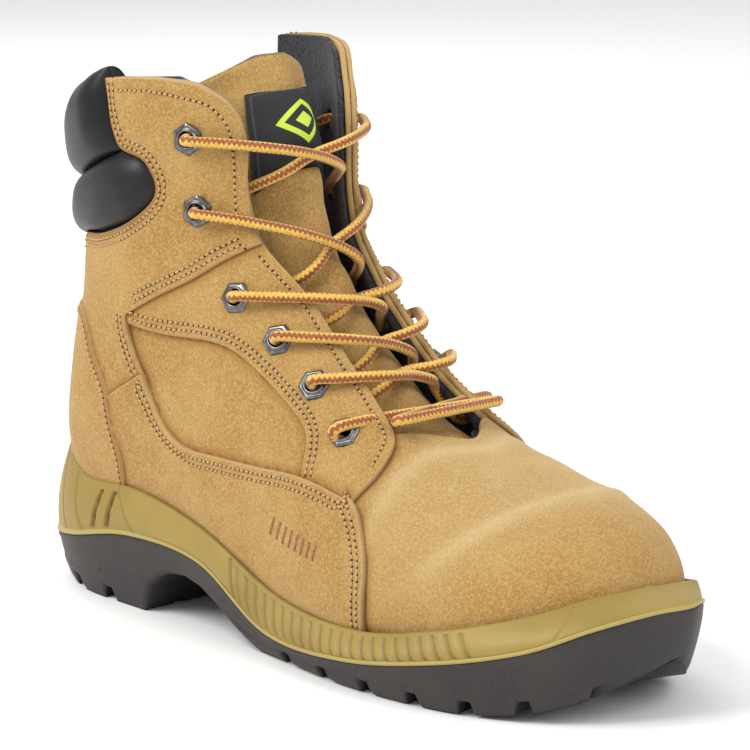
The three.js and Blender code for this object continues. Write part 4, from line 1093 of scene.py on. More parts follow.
make_piece("footbed_foam", *ring_shell(np.array(footbed_rings)), foot_knit, "footbed",
           "footbed_foam", ["footbed"])

# ---------------------------------------------------------------- toe
# A pressed steel cap with a textile edging strip lies between the vamp and its lining. The vamp
# is one suede piece stretched over them; the cap's rear edge and the first bends show through.
edging_tape = plain_finish("edging_tape", (0.015, 0.015, 0.017), (0.03, 0.03, 0.032), 0.8, 0.9)
dress("steel_toe_cap", pressed_steel)
dress("toe_cap_edging", edging_tape)

THROAT_EDGE = np.array([[1.05, 9.3], [0.8, 9.1], [0.6, 8.92], [0.45, 8.72], [0.29, 8.38],
                        [0.15, 8.05], [0.0, 7.85], [-0.15, 8.05], [-0.29, 8.38], [-0.45, 8.72],
                        [-0.6, 8.92], [-0.8, 9.1], [-1.05, 9.3]])
VAMP_BACK = 12.0


def vamp_outline():
    """The vamp's outline: round the toe along the hem from the inner side to the outer, and
    back across the throat."""
    outer = hem_part(-1, VAMP_BACK, 200)
    inner = hem_part(1, 200, VAMP_BACK)
    return np.vstack([outer, inner, bent(THROAT_EDGE)[:, ::-1]])


def cap_line(angle):
    """The section at which the steel cap's rear edge lies, further back on the sides."""
    return 5.32 + 0.78 * angle ** 2


def vamp_relief(section, angle):
    """A raised line over the cap's rear edge with a hollow behind it, two soft bends across
    the instep, and faint waves."""
    behind = section - cap_line(angle)
    fade = np.exp(-(angle / 1.25) ** 4)
    ridge = 0.75 * np.exp(-(behind / 0.16) ** 2) - 0.95 * np.exp(-((behind - 0.62) / 0.42) ** 2)
    bends = (0.7 * np.exp(-((section - 7.05 - 0.3 * np.cos(3 * angle)) / 0.2) ** 2)
             + 0.8 * np.exp(-((section - 7.95 + 0.5 * np.exp(-(angle / 0.3) ** 2)) / 0.17) ** 2))
    waves = 0.16 * np.sin(2.1 * section + 5 * angle) * np.sin(6.5 * angle - 1.3 * section)
    return fade * (ridge + 0.55 * bends * np.exp(-(angle / 0.75) ** 4)) + waves


def vamp_wear_and_highlight(section, angle):
    """Where the brushed leather is palest: worn paleness and a painted highlight on the raised
    lines, and a painted highlight over the instep.
    """
    behind = section - cap_line(angle)
    fade = np.exp(-(angle / 1.3) ** 4)
    ridge = 0.5 * np.exp(-((behind + 0.02) / 0.26) ** 2)
    bends = 0.5 * np.exp(-((section - 7.95 + 0.5 * np.exp(-(angle / 0.3) ** 2)) / 0.2) ** 2)
    # painted highlight: a broad pale band over the top of the vamp, where the light falls on it
    broad = 0.34 * np.exp(-((section - 6.6) / 1.7) ** 2)
    return np.clip(fade * (ridge + bends + broad), 0, 1)


lining_knit, tree, shader = new_material("lining_knit", 0.95)
cells = put(tree, "ShaderNodeTexVoronoi", Scale=1 / (1.5 * MM))
tree.links.new(put(tree, "ShaderNodeTexCoord").outputs["Object"], cells.inputs["Vector"])
tree.links.new(blend_colour(tree, ramp(tree, cells.outputs["Distance"], 0.1, 0.5),
                            (0.006, 0.006, 0.007), (0.034, 0.034, 0.038)),
               shader.inputs["Base Color"])
shader.inputs["Sheen Weight"].default_value = 0.15
bump(tree, shader, cells.outputs["Distance"], 0.35, 0.8)

foxing_front = on_side((34.8, 63.6), (43.1, 57), (50.6, 43.8), (52.1, 30), (52.1, 18))
vamp_seams = []
for name, sign in SIDES:
    vamp_seams.append(spaced(foxing_front * [1, sign]))
    flap_tip = bent([[8.75, 0.46], [8.44, 0.57], [8.36, 0.77], [8.54, 0.98]])
    vamp_seams.append(spaced(flap_tip * [1, sign]))
cut_panel("vamp_lining_knit", vamp_outline(), -7.1, -6.0, lining_knit, "lining_textile",
          ["vamp_lining"], spacing=2.6)
cut_panel("vamp_suede", vamp_outline(), -1.9, 0.1, suede, "suede", ["vamp"], seams=vamp_seams,
          relief=vamp_relief, crease=vamp_wear_and_highlight, spacing=1.5)

# ---------------------------------------------------------------- quarters
# Each side of the shaft is a suede quarter over a black knitted lining, open at the throat,
# hemmed under the midsole and joined at the back seam. It shows as the window between the
# panels sewn over it. A stiff fibre counter lies between quarter and lining at the heel.
dress("heel_counter", board_fibre)
BACK_SEAM = math.pi - 0.004
FLAP_EDGE = bent([[20.05, 1.05], [19.9, 0.92], [19.5, 0.82], [18.64, 0.71], [17.95, 0.66],
                  [16.99, 0.63], [16.0, 0.635], [15.04, 0.615], [14.17, 0.585], [12.64, 0.46],
                  [11.9, 0.42], [10.63, 0.41], [9.64, 0.41], [8.75, 0.46], [8.44, 0.57],
                  [8.36, 0.77], [8.54, 0.98]], 5)
PAD_FRONT = bent([[20.12, 1.74], [19.53, 1.72], [19.02, 1.66], [18.7, 1.59], [18.3, 1.41],
                  [17.71, 1.31], [17.32, 1.31], [17.22, 1.43], [17.3, 1.63], [17.55, 1.92]], 5)


def at_level(angles, level):
    """The sections at which given angles pass a height, itself a function of x."""
    sections = np.linspace(6, 19, 400)
    found = []
    for angle in angles:
        points = above(sections, np.full(400, -angle), np.full(400, CHART_HEIGHT))
        found.append(np.interp(0, points[:, 2] - level(points[:, 0]), sections))
    return np.stack([found, angles], -1)


pad_bottom = at_level(np.linspace(2.15, BACK_SEAM, 7), lambda x: 135.2 - 0.267 * (-97.3 - x))
PAD_EDGE = np.vstack([PAD_FRONT, bent(np.vstack([PAD_FRONT[-1:], pad_bottom]), 3)[1:]])
HEEL_FRONT = np.array([[16.23, 1.98], [15.28, 1.81], [14.55, 1.74], [14.04, 1.78],
                       [13.46, 1.92], [13.13, 2.19], [12.95, 2.5]])
heel_level = float(on_leather(HEEL_FRONT[:1] * [1, -1])[0, 2])
heel_top = at_level(np.linspace(BACK_SEAM, 2.25, 5), lambda x: heel_level + 3 + 0 * x)
HEEL_EDGE = bent(np.vstack([heel_top, HEEL_FRONT]), 5)
EYESTAY_BACK = bent(on_side((14.6, 61), (14.2, 65.4), (11.1, 77.9), (1.6, 85.6), (-15.5, 95.3),
                            (-31.7, 101.9), (-54.4, 102.6), (-77.6, 104)), 5)
DIAGONAL = bent(np.vstack([[[14.13, 0.585], [14.43, 0.82], [14.67, 1.04]],
                           on_side((-64, 115.4), (-78.2, 107.5))]), 6)
SHAFT_BACK = bent([DIAGONAL[-1], [15.15, 1.5], [14.6, 1.485], [14.02, 1.47]], 6)
FOXING_TOP = np.vstack([[[14.45, 1.95], [14.41, 1.74], [14.29, 1.63], [14.13, 1.52]], bent([
    [14.13, 1.52], [14.02, 1.47], [13.6, 1.49], [13.09, 1.54], [12.68, 1.55], [12.35, 1.52],
    [11.8, 1.42], [11.12, 1.29], [10.25, 1.14], [9.46, 1.05], [8.7, 1.0]], 6)[1:],
    bent(on_side((34.8, 63.6), (43.1, 57), (50.6, 43.8), (52.1, 30), (52.1, 16)), 5)])


INNER_LIFT = 0.42


def mirrored(chart, sign):
    """A chart drawn for positive angles, on the side given. The inner side's top is higher."""
    section, angle = np.asarray(chart, float).T
    lift = INNER_LIFT * smooth_step(18.9, 20.1, section) * (sign > 0) * smooth_step(2.9, 2.0, angle)
    return np.stack([section + lift, sign * angle], -1)


def over(panels, base, added, sign, reach=6.0):
    """A height that rises by the thickness of the panels lying beneath, and falls back to the
    base over a reach past their edges; with no reach it steps."""
    loops = [mirrored(panel, sign) for panel in panels]

    def height(section, angle):
        """The base, and the added thickness times how much of a panel lies beneath."""
        chart = np.stack([section, angle], -1)
        lift = np.zeros(len(chart))
        for loop in loops:
            within = inside(chart * CHART_SCALE, loop * CHART_SCALE)
            if reach:
                gap = distance_to(on_leather(chart), on_leather(spaced(loop, 1.5, True)))
                lift = np.maximum(lift, np.where(within, 1.0, np.exp(-(gap / reach) ** 2)))
            else:
                lift = np.maximum(lift, within)
        return base + added * lift

    return height


def hem_chart(sign, from_x, to_x):
    """The hem as a chart for positive angles."""
    return hem_part(sign, from_x, to_x) * [1, sign]


QUARTER_TOP, PANEL_TOP, FOXING_TOP_HEIGHT = 0.35, 2.25, 2.35
EYESTAY_LOOP = np.vstack([
    FLAP_EDGE[FLAP_EDGE[:, 0] < 14.9], on_side((40, 57), (24, 56)), EYESTAY_BACK,
    on_side((-80, 107), (-72, 117)), [[15.0, 1.04], [14.9, 0.8]]])
for side_name, sign in SIDES:
    holes = [eyelet_hole(n, sign, 3.4) for n in range(len(EYELETS))]
    back = np.array([[s, BACK_SEAM] for s in np.linspace(5.2, pad_bottom[-1, 0], 12)])
    hem_run = hem_chart(sign, 46, -200)
    quarter = np.vstack([FLAP_EDGE, on_side((36, 52), (44, 40), (46, 26)), hem_run,
                         back[back[:, 0] > hem_run[-1, 0] + 0.2], PAD_EDGE[::-1][1:-1],
                         [[20.14, 1.5], [20.13, 1.28]]])
    seams = [spaced(mirrored(line, sign))
             for line in (EYESTAY_BACK, SHAFT_BACK, FOXING_TOP)]
    cut_panel("quarter_" + side_name + "_suede", mirrored(quarter, sign), -1.9, QUARTER_TOP,
              suede, "suede", ["quarter_" + side_name], holes, seams, spacing=2.1,
              relief=lambda s, a: 0.22 * np.sin(2.6 * s + 3 * a) * np.sin(7 * a + 1.1 * s))
    lining = np.vstack([
        shifted(FLAP_EDGE, 0.5), on_side((36, 52), (44, 40), (46, 26)), hem_run,
        back[back[:, 0] > hem_run[-1, 0] + 0.2], [[18.4, BACK_SEAM], [18.4, 1.75]],
        [[20.12, 1.72], [20.12, 1.12]]])
    cut_panel("quarter_lining_" + side_name + "_knit", mirrored(lining, sign), -4.6, -2.2,
              lining_knit, "lining_textile", ["quarter_lining_" + side_name], holes,
              spacing=2.8)

# ---------------------------------------------------------------- panels
# Suede panels lie over the quarters: the eyestay along the throat, the shaft panel over its top
# end and round the collar's pads, the foxing over both and over the vamp, and a heel patch
# across the back. Two rows of tan stitching follow each covering edge, one row the throat.
for side_name, sign in SIDES:
    flip = lambda chart: mirrored(chart, sign)
    eyestay_front = FLAP_EDGE[FLAP_EDGE[:, 0] < 14.05]
    shaft_front = FLAP_EDGE[FLAP_EDGE[:, 0] > 14.13]
    low_holes = [eyelet_hole(n, sign, 3.4) for n in range(2, 6)]
    high_holes = [eyelet_hole(n, sign, 3.4) for n in range(2)]
    # the throat's row runs a few millimetres inside the flap's edge, and turns with it at the top
    throat_row = spaced(shifted(flip(eyestay_front[:-6]), sign * 3.4))
    top_row = bent(flip([[14.3, 0.685], [15.04, 0.705], [16.63, 0.725], [17.79, 0.745],
                         [18.6, 0.81], [19.2, 0.91], [19.62, 1.08], [19.84, 1.3],
                         [19.9, 1.62]]), 6)
    stitch_rows[side_name] += [(throat_row, PANEL_TOP), (top_row, PANEL_TOP)]
    window_rows = rows_beside(flip(EYESTAY_BACK[5:]), sign, side_name, PANEL_TOP)
    eye_seams = [spaced(flip(line)) for line in (DIAGONAL, FOXING_TOP)]
    cut_panel("eyestay_" + side_name + "_suede", flip(EYESTAY_LOOP), 0.4, PANEL_TOP, suede,
              "suede", ["eyestay_" + side_name], low_holes, eye_seams,
              window_rows + [(throat_row, 0.3, 1.0)], spacing=1.7)
    shaft_back_seam = np.array([[s, BACK_SEAM] for s in
                                np.linspace(heel_top[0, 0] - 0.4, pad_bottom[-1, 0], 8)])
    shaft_loop = np.vstack([
        shaft_front, DIAGONAL[:-1], SHAFT_BACK, [[13.8, 1.58], [13.85, 1.8], [14.5, 2.1]],
        shaft_back_seam, PAD_EDGE[::-1][1:], [[20.15, 1.5], [20.14, 1.28]]])
    pad_rows = rows_beside(flip(PAD_EDGE), -sign, side_name, PANEL_TOP)
    diagonal_rows = rows_beside(flip(DIAGONAL[3:-2]), sign, side_name, PANEL_TOP + 1.1)
    back_rows = rows_beside(flip(SHAFT_BACK[3:-1]), sign, side_name, PANEL_TOP + 0.3)
    shaft_seams = [spaced(flip(line)) for line in (HEEL_EDGE, FOXING_TOP, PAD_EDGE)]
    cut_panel("shaft_panel_" + side_name + "_suede", flip(shaft_loop),
              over([EYESTAY_LOOP], 0.4, PANEL_TOP - 0.35, sign, 0),
              over([EYESTAY_LOOP], PANEL_TOP, 1.15, sign), suede, "suede",
              ["shaft_panel_" + side_name], high_holes, shaft_seams,
              pad_rows + diagonal_rows + back_rows + [(spaced(top_row), 0.3, 1.0)],
              spacing=1.7,
              relief=lambda s, a: 0.3 * np.sin(1.9 * s + 2 * a) * np.sin(4.3 * a - 0.9 * s))
    foxing_loop = np.vstack([FOXING_TOP, hem_chart(sign, 52, -90)])
    foxing_rows = rows_beside(flip(FOXING_TOP[4:]), sign, side_name, PANEL_TOP + 0.55)
    cut_panel("foxing_" + side_name + "_suede", flip(foxing_loop),
              over([EYESTAY_LOOP, shaft_loop], 0.15, PANEL_TOP + 0.05, sign, 0),
              over([EYESTAY_LOOP, shaft_loop], FOXING_TOP_HEIGHT, 1.1, sign), suede, "suede",
              ["foxing_" + side_name], (), [spaced(flip(HEEL_EDGE))], foxing_rows,
              spacing=1.8,
              relief=lambda s, a: 0.25 * np.sin(2.3 * s + 4 * a) * np.sin(3.1 * a - 1.7 * s))

# ---------------------------------------------------------------- heel patch
# One suede patch wraps the heel from side to side over the shaft panels' ends, with a single row
# of stitching inside its front edge.
heel_hem = hem_line[(hem_x < -80)]
heel_hem = np.column_stack([heel_hem[:, 0], np.where(heel_hem[:, 1] < 0,
                                                     heel_hem[:, 1] + 2 * math.pi,
                                                     heel_hem[:, 1])])
heel_hem = heel_hem[np.argsort(heel_hem[:, 1])][::8]
far_edge = HEEL_EDGE * [1, -1] + [0, 2 * math.pi]
heel_loop = np.vstack([HEEL_EDGE[:-1], heel_hem[(heel_hem[:, 1] > HEEL_EDGE[-1, 1])
                                                 & (heel_hem[:, 1] < far_edge[-1, 1])],
                       far_edge[::-1][1:-1]])
for side_name, sign in SIDES:
    row = shifted(mirrored(HEEL_EDGE, sign), sign * 2.6)
    stitch_rows[side_name].append((row, 3.3))
cut_panel("heel_patch_suede", heel_loop, 0.5, 3.3, suede, "suede", ["heel_patch"], (),
          [spaced(line) for line in (HEEL_EDGE, far_edge)], spacing=1.9)

# ---------------------------------------------------------------- collar
# Two rolls of foam under smooth black leather run round the top of the shaft, tucked under the
# suede's S-shaped front edge, with a stitched valley between them. The upper turns over the rim.
collar_hide, tree, shader = new_material("collar_hide", 0.42)
shader.inputs["Specular IOR Level"].default_value = 0.3
tree.links.new(blend_colour(tree, ramp(tree, noise(tree, 14, 3), 0.35, 0.7), (0.005, 0.005, 0.0055),
                            (0.012, 0.012, 0.0125)), shader.inputs["Base Color"])
pores = put(tree, "ShaderNodeTexVoronoi", Scale=1 / (0.9 * MM))
tree.links.new(put(tree, "ShaderNodeTexCoord").outputs["Object"], pores.inputs["Vector"])
bump(tree, shader, pores.outputs["Distance"], 0.08, 0.35)

VALLEY = 18.68
front_by_section = PAD_FRONT[:np.argmin(PAD_FRONT[:, 0]) + 1]
ROLL_ROWS, ROLL_SIDES = 150, 64


def roll_front(section):
    """The angle of the suede's S-shaped edge at a section, less a little to tuck under it."""
    return np.interp(section, front_by_section[::-1, 0], front_by_section[::-1, 1]) - 0.035


def roll_rings(floor, top, rise, depth, seat):
    """A roll's rings from the outer side round the back to the inner: each is an oval between
    two sections, standing out by rise and in by depth, and swelling from nothing in about a
    centimetre from the suede's edge."""
    share = np.linspace(0, 1, ROLL_ROWS)
    share = np.concatenate([0.18 * (share[:50] / share[49]) ** 1.5,
                            np.linspace(0.18, 1, ROLL_ROWS - 49)[1:]])
    turns = np.arange(ROLL_SIDES) * 2 * math.pi / ROLL_SIDES
    share = np.concatenate([share, 2 - share[::-1][1:]])[:, None]
    from_front = np.where(share > 1, 2 - share, share)
    oval = np.sign(np.cos(turns)) * np.abs(np.cos(turns)) ** 0.85
    base = floor(1.35 + (math.pi - 1.35) * from_front)
    rim = top - (top > 20) * (0.42 + 0.2 * smooth_step(0.0, 0.25, from_front)
                              + 0.26 * smooth_step(0.25, 0.9, from_front)
                              - INNER_LIFT * smooth_step(1.2, 1.9, share))
    section = (base + rim) / 2 + (rim - base) / 2 * oval
    start = roll_front(section - np.where(share > 1, INNER_LIFT * smooth_step(18.9, 20.1, section),
                                          0))
    angle = start + (math.pi - start) * from_front
    run = (angle - start) * 41
    swell = np.sqrt(np.clip(1 - (1 - np.clip((run - 1.2) / 10, 0, 1)) ** 2, 0, 1))
    out = np.sin(turns)
    height = seat + np.where(out > 0, rise * swell * np.abs(out) ** 0.9, depth * out)
    height += (0.25 * np.sin(9 * angle + 4 * section) * np.sin(5 * section - 2 * angle)
               * (out > 0) * swell * np.abs(out))
    angle = np.where(share > 1, 2 * math.pi - angle, angle)
    return above(section, angle, height)


bottom_of_pad = PAD_EDGE[np.argmin(PAD_EDGE[:, 0]):]
rolls = []
for name, floor, top, rise, depth, seat in (
        ("lower", lambda a: np.interp(a, bottom_of_pad[:, 1], bottom_of_pad[:, 0]), VALLEY,
         6.6, 5.0, 0.6),
        ("upper", lambda a: VALLEY + 0 * a, 20.32, 8.6, 8.0, 0.4)):
    rings = roll_rings(floor, top, rise, depth, seat)
    roll = make_piece("collar_roll_" + name + "_padded", *ring_shell(rings), collar_hide, "boot",
                      "collar_leather", ["collar_roll_" + name])
    rolls.append(roll)

# ---------------------------------------------------------------- tongue
# A suede-faced tongue with a padded black back, sewn in under the vamp. It swells between the
# crossings of the lace and carries a woven label with a stitched border and a lime diamond.
TONGUE_SEAT, TONGUE_CROWN, TONGUE_ROOT, TONGUE_HALF = -10.2, 3.4, -7.8, 33
MIDDLE_POINT = 4  # the waypoint of a crossing that lies on the tongue's middle line
crossings = [lace_crossing(n, 1)[MIDDLE_POINT][0] for n in range(len(EYELETS) - 1)]


def lean_back(section):
    """How far the tongue stands back from the flaps towards its top."""
    return 11 * np.maximum((np.asarray(section, float) - 14.5) / 6, 0) ** 2


def tongue_reach(section):
    """Half the tongue's width at a section, as an angle."""
    angles = np.linspace(0, 1.5, 57)
    half = TONGUE_HALF * (np.clip(0.62 + 0.045 * (section - 8), 0, 0.83)
                          + 0.05 * smooth_step(15, 19.5, section))
    grid = above(np.repeat(section[:, None], 57, 1), np.broadcast_to(angles, (len(section), 57)),
                 np.full((len(section), 57), TONGUE_SEAT))[..., 1] - MIDDLE_Y
    return np.array([np.interp(h, y, angles) for h, y in zip(half, grid)])


def tongue_face(section, angle):
    """The height of the tongue's face: a seat under the flaps, a crown between them, a root
    under the vamp, a lean at the top, swells between the crossings and a fold at the label."""
    y = np.abs(above(section, angle, np.zeros(np.shape(section)))[..., 1] - MIDDLE_Y) / 19
    start = np.clip((section - 8.6) / 1.2, 0, 1)
    middle = np.cos(np.clip(y, 0, 1) * math.pi / 2) ** 2
    root = np.maximum(1 - (section - 8.3) / 0.8, 0) * (TONGUE_ROOT - TONGUE_SEAT)
    pinch = sum(np.exp(-((section - c) / 0.42) ** 2) for c in crossings)
    fold = np.exp(-((section - 14.75 + 0.5 * angle) / 0.16) ** 2)
    swell = start * middle * (1.3 - 2.3 * pinch * (section < 20) - 1.7 * fold)
    ripple = 0.35 * start * np.sin(3.1 * section + 6 * angle) * np.sin(5 * angle - section)
    return (TONGUE_SEAT + root + start * TONGUE_CROWN * middle + swell + ripple
            - lean_back(section) * np.cos(angle))


def slab(sections, shares, low, high):
    """A closed plate between two heights over a band of the tongue, as points and faces."""
    section = np.repeat(sections[:, None], len(shares), 1)
    angle = tongue_reach(sections)[:, None] * shares
    section = section - 0.62 * smooth_step(17, 20.4, section) * np.abs(shares) ** 2.4
    face = tongue_face(section, angle)
    top, bottom = (above(section, angle, face + lift) for lift in (high, low))
    rows, columns = section.shape
    number = np.arange(rows * columns).reshape(rows, columns)
    rim = np.concatenate([number[0], number[1:, -1], number[-1, -2::-1], number[-2:0:-1, 0]])
    after, count = np.roll(rim, -1), rows * columns
    walls = np.stack([rim, rim + count, after + count, after], -1)
    points = np.vstack([top.reshape(-1, 3), bottom.reshape(-1, 3)])
    top_faces = grid_faces(rows, columns)
    return points, facing_out(points, [top_faces, top_faces[:, ::-1] + count, walls[:, ::-1]])


def round_off(sections, shares, reach, depth):
    """How much a slab's face falls near its sides and top, as a grid of depths."""
    from_side = (1 - np.abs(shares))[None, :] * 26
    from_top = (sections[-1] - sections)[:, None] * 9
    gap = np.clip(np.minimum(from_side, from_top) / reach, 0, 1)
    return depth * (1 - np.sqrt(1 - (1 - gap) ** 2))


tongue_sections = np.concatenate([np.linspace(8.3, 20.1, 150), np.linspace(20.13, 20.4, 8)])
tongue_shares = np.concatenate([[-1, -0.985, -0.96], np.linspace(-0.93, 0.93, 60),
                                [0.96, 0.985, 1]])
drop = round_off(tongue_sections, tongue_shares, 1.6, 1.2)
points, faces = slab(tongue_sections, tongue_shares, -1.6, -drop)
blank = np.zeros(len(points))
make_piece("tongue_suede", points, faces, suede, "tongue", "suede", ["tongue"],
           {"edge": blank + 5, "seam": blank + 20, "crease": blank})
drop = round_off(tongue_sections, tongue_shares, 4.5, 2.2)
points, faces = slab(tongue_sections, tongue_shares, -6.6 + drop, -1.75)
padding = make_piece("tongue_padding_knit", points, faces, lining_knit, "tongue",
                     "lining_textile", ["tongue_padding"])

label_weave, tree, shader = new_material("label_weave", 0.8)
split = put(tree, "ShaderNodeSeparateXYZ")
tree.links.new(put(tree, "ShaderNodeUVMap", uv_map="UVMap").outputs["UV"], split.inputs["Vector"])
across, upward = split.outputs["X"], split.outputs["Y"]
from_middle = math_node(tree, "ADD", math_node(tree, "ABSOLUTE", across),
                        math_node(tree, "ABSOLUTE", upward))
ring = math_node(tree, "ABSOLUTE", math_node(tree, "SUBTRACT", from_middle, 0.46))
mark = math_node(tree, "MAXIMUM", ramp(tree, ring, 0.085, 0.070),
                 ramp(tree, from_middle, 0.20, 0.185))
border = math_node(tree, "MAXIMUM", math_node(tree, "ABSOLUTE", across),
                   math_node(tree, "ABSOLUTE", upward))
thread_line = ramp(tree, math_node(tree, "ABSOLUTE", math_node(tree, "SUBTRACT", border, 0.9)),
                   0.022, 0.012)
weft = math_node(tree, "SINE", math_node(tree, "MULTIPLY", upward, 190))
cloth = blend_colour(tree, ramp(tree, weft, -0.6, 0.6), (0.010, 0.010, 0.012),
                     (0.022, 0.022, 0.025))
cloth = blend_colour(tree, thread_line, cloth, (0.05, 0.05, 0.055))
lime = blend_colour(tree, ramp(tree, weft, -0.5, 0.5), (0.42, 0.62, 0.03), (0.60, 0.78, 0.09))
tree.links.new(blend_colour(tree, mark, cloth, lime), shader.inputs["Base Color"])
bump(tree, shader, math_node(tree, "ADD", math_node(tree, "MULTIPLY", weft, 0.25), mark), 0.2,
     0.7)
label_sections, label_shares = np.linspace(15.5, 19.1, 60), np.linspace(-0.53, 0.53, 40)
points, faces = slab(label_sections, label_shares, 0.1, 0.85)
sheet_v, sheet_u = np.meshgrid(np.linspace(-1, 1, 60), np.linspace(-1, 1, 40), indexing="ij")
plane = np.stack([sheet_u, sheet_v], -1).reshape(-1, 2)
make_piece("tongue_label_woven", points, faces, label_weave, "tongue", "woven_label",
           ["tongue_label"], uv=np.vstack([plane, plane]))

# ---------------------------------------------------------------- eyelets
# Twelve gunmetal eyelets: a hexagonal flange with a bevelled edge, a rolled round lip over its
# bore, and a barrel through the leather and lining.
gunmetal, tree, shader = new_material("gunmetal", 0.28, 1.0)
tarnish = ramp(tree, noise(tree, 2.2, 3), 0.35, 0.7)
tree.links.new(blend_colour(tree, tarnish, (0.11, 0.11, 0.115), (0.20, 0.20, 0.205)),
               shader.inputs["Base Color"])
bump(tree, shader, noise(tree, 0.5, 2), 0.03, 0.4)
EYELET_RINGS = np.array([  # radius, how hexagonal, height over the leather's face
    [2.75, 0, -6.4], [2.75, 0, -2.0], [2.75, 0, 0.5], [2.8, 0, 0.95], [2.98, 0, 1.3],
    [3.3, 0, 1.42], [3.6, 0, 1.26], [3.76, 0, 0.9], [3.85, 0.05, 0.78], [4.55, 1, 0.8],
    [4.66, 1, 0.78], [5.35, 1, 0.32], [5.42, 1, 0.22], [5.42, 1, -0.1], [5.2, 1, -0.16],
    [3.3, 0, -0.16], [3.2, 0, -1.2], [3.2, 0, -6.4]])
EYELET_STEPS = 60
for side_name, sign in SIDES:
    for n, (section, angle) in enumerate(EYELETS):
        angle = sign * angle
        face = PANEL_TOP + 0.1
        centre = above(section, angle, face)
        normal = outward(section, angle)
        upward = unit(above(section + 0.2, angle, face) - centre)
        upward = unit(upward - normal * (upward @ normal))
        aside = np.cross(normal, upward)
        turns = np.arange(EYELET_STEPS) * 2 * math.pi / EYELET_STEPS
        corner = np.abs((turns + math.pi / 6) % (math.pi / 3) - math.pi / 6)
        hexagon = 0.93 / np.cos(math.pi / 6 - corner)
        radius = EYELET_RINGS[:, :1] * (1 + EYELET_RINGS[:, 1:2] * (hexagon - 1))
        rings = (centre + (radius * np.cos(turns))[..., None] * upward
                 + (radius * np.sin(turns))[..., None] * aside
                 + EYELET_RINGS[:, 2, None, None] * normal)
        rows = len(EYELET_RINGS)
        points = rings.reshape(-1, 3)
        quads = grid_faces(rows, EYELET_STEPS, True)
        ring = np.arange(EYELET_STEPS)
        after = (ring + 1) % EYELET_STEPS
        last = (rows - 1) * EYELET_STEPS
        quads = np.vstack([quads, np.stack([last + ring, last + after, after, ring], -1)])
        name = "eyelet_" + side_name + "_" + str(n + 1)
        make_piece(name + "_hexagonal", points, facing_out(points, quads), gunmetal, "boot",
                   "eyelet_metal", [name])

# ---------------------------------------------------------------- stitching
# Tan thread follows the panels' edges: a short stitch, sunk at its ends, between needle holes
# drawn as dark discs of painted shade. Its rows are laid on whatever leather lies under them.
thread, tree, shader = new_material("thread", 0.7)
# painted shade: the needle holes are dark discs laid on the leather
tree.links.new(blend_colour(tree, field(tree, "hole"),
                            (0.47, 0.30, 0.13), (0.040, 0.014, 0.005)),
               shader.inputs["Base Color"])
STITCH_PITCH, STITCH_SIDES = 2.3, 6


def surface_of(pieces):
    """One search tree over several pieces, in millimetres."""
    corners, faces, start = [], [], 0
    for piece in pieces:
        mesh = piece.data
        flat = np.zeros(len(mesh.vertices) * 3, np.float32)
        mesh.vertices.foreach_get("co", flat)
        corners += (flat.reshape(-1, 3) / MM).tolist()
        faces += [[start + i for i in face.vertices] for face in mesh.polygons]
        start += len(mesh.vertices)
    return BVHTree.FromPolygons(corners, faces)


def sew(name, rows, pieces, band, slot):
    """Stitches along rows of charts with expected heights: each is laid where the surface
    lies, and left out where another panel covers its row."""
    surface = surface_of(pieces)
    points, faces, holes = [], [], []
    template = np.array([[-0.36, -0.35, 0.5], [-0.3, 0.02, 0.85], [-0.12, 0.26, 1],
                         [0.12, 0.26, 1], [0.3, 0.02, 0.85], [0.36, -0.35, 0.5]])
    turns = np.arange(STITCH_SIDES) * 2 * math.pi / STITCH_SIDES
    ring = np.arange(STITCH_SIDES)
    after = (ring + 1) % STITCH_SIDES
    start = 0
    for row, expected in rows:
        places = spaced(row, STITCH_PITCH)
        normals = outward(places[:, 0], places[:, 1])
        laid = []
        for place, normal, origin in zip(places, normals, on_leather(places, 14)):
            hit, _, _, gap = surface.ray_cast(Vector(origin), Vector(-normal), 20)
            height = None if hit is None else 14 - gap
            good = height is not None and abs(height - expected) < band
            laid.append(np.array(hit) if good else None)
        for i in range(len(places) - 1):
            if laid[i] is None or laid[i + 1] is None:
                continue
            ahead = laid[i + 1] - laid[i]
            length = np.linalg.norm(ahead)
            if length > 1.6 * STITCH_PITCH:
                continue
            ahead, normal = ahead / length, normals[i]
            across = unit(np.cross(ahead, normal))
            up = np.cross(across, ahead)
            middle = (laid[i] + laid[i + 1]) / 2
            along, rise, girth = template.T
            spine = middle + (along * length)[:, None] * ahead + rise[:, None] * up
            tube = (spine[:, None] + 0.42 * girth[:, None, None]
                    * (np.cos(turns)[:, None] * across + np.sin(turns)[:, None] * up))
            count = len(template)
            points += [*tube.reshape(-1, 3), spine[0], spine[-1]]
            quads = grid_faces(count, STITCH_SIDES, True) + start
            last = start + (count - 1) * STITCH_SIDES
            tip = start + count * STITCH_SIDES
            faces += quads[:, ::-1].tolist()
            faces += [[start + a, start + b, tip] for a, b in zip(ring, after)]
            faces += [[last + b, last + a, tip + 1] for a, b in zip(ring, after)]
            holes += [0.0] * (count * STITCH_SIDES + 2)
            start = len(points)
            # painted shade: a dark flat disc where the needle hole is, with a cone sunk under it
            hole_shade_disc = (laid[i] + 0.66 * (np.cos(turns)[:, None] * ahead * 0.85
                                      + np.sin(turns)[:, None] * across) + 0.02 * up)
            points += [*hole_shade_disc, laid[i] + 0.09 * up, laid[i] - 0.5 * up]
            faces += [[start + b, start + a, start + STITCH_SIDES] for a, b in zip(ring, after)]
            faces += [[start + a, start + b, start + STITCH_SIDES + 1]
                      for a, b in zip(ring, after)]
            holes += [1.0] * (STITCH_SIDES + 2)
            start = len(points)
    return make_piece(name, np.array(points), faces, thread, "boot", slot,
                      fields={"hole": holes})


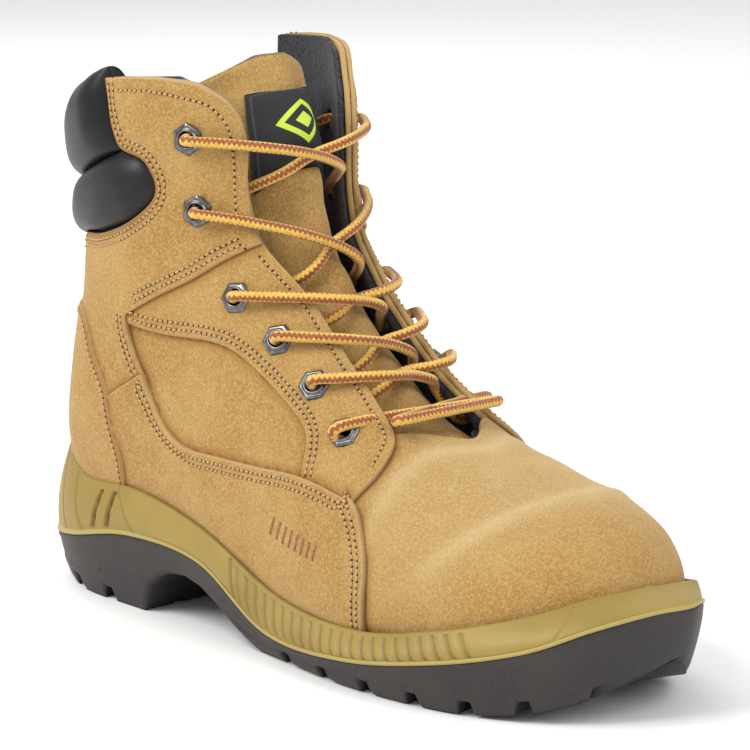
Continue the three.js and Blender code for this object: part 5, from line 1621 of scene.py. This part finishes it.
for side_name, sign in SIDES:
    sewn = [bpy.data.objects[part + "_" + side_name + "_suede"]
            for part in ("quarter", "eyestay", "shaft_panel", "foxing")]
    sewn.append(bpy.data.objects["heel_patch_suede"])
    sewn.append(bpy.data.objects["vamp_suede"])
    sew("stitching_" + side_name, stitch_rows[side_name], sewn, 1.05, "suede")
valley = np.stack([np.full(60, VALLEY), np.linspace(1.66, 2 * math.pi - 1.66, 60)], -1)
sew("stitching_collar", [(valley, 1.5)], rolls, 3.0, "suede")

# ---------------------------------------------------------------- foxing mark
# A small plain row of hatch bars low on the outer foxing, pressed into the suede by a hot die,
# which leaves the nap flat and dark.
pressed, tree, shader = new_material("pressed_mark", 0.9)
tree.links.new(blend_colour(tree, ramp(tree, noise(tree, 1.2), 0.3, 0.7), (0.20, 0.085, 0.024),
                            (0.30, 0.145, 0.050)), shader.inputs["Base Color"])
foxing_surface = surface_of([bpy.data.objects["foxing_lateral_suede"]])
BAR_WIDTH, points, faces = 0.062, [], []
for k in range(8):
    top = np.array([10.27 - 1.26 * k / 7, -1.395 + 0.055 * k / 7])
    foot = np.array([10.30 - 1.26 * k / 7, -1.495 + 0.06 * k / 7])
    levels = np.linspace(0, 1, 5)
    left = top + (foot - top) * levels[:, None]
    band = np.vstack([left, (left + [BAR_WIDTH, 0])[::-1]])
    outer = []
    for place, origin in zip(band, on_leather(band, 14)):
        hit = foxing_surface.ray_cast(Vector(origin), Vector(-outward(*place)), 20)[0]
        outer.append(np.array(hit) if hit is not None else on_leather(place[None])[0])
    outer = np.array(outer)
    normals = outward(band[:, 0], band[:, 1])
    start, n = len(points), len(band)
    points += [*(outer + 0.1 * normals), *(outer - 0.5 * normals)]
    corners = np.arange(n)
    after = (corners + 1) % n
    faces += [[start + i, start + i + 1, start + n - 2 - i, start + n - 1 - i] for i in range(4)]
    faces += [[start + 2 * n - 1 - i, start + 2 * n - 2 - i, start + n + i + 1, start + n + i]
              for i in range(4)]
    faces += (np.stack([corners, corners + n, after + n, after], -1) + start).tolist()
quads = np.array(faces)
make_piece("foxing_mark", np.array(points), facing_out(np.array(points), quads), pressed, "boot",
           "suede")
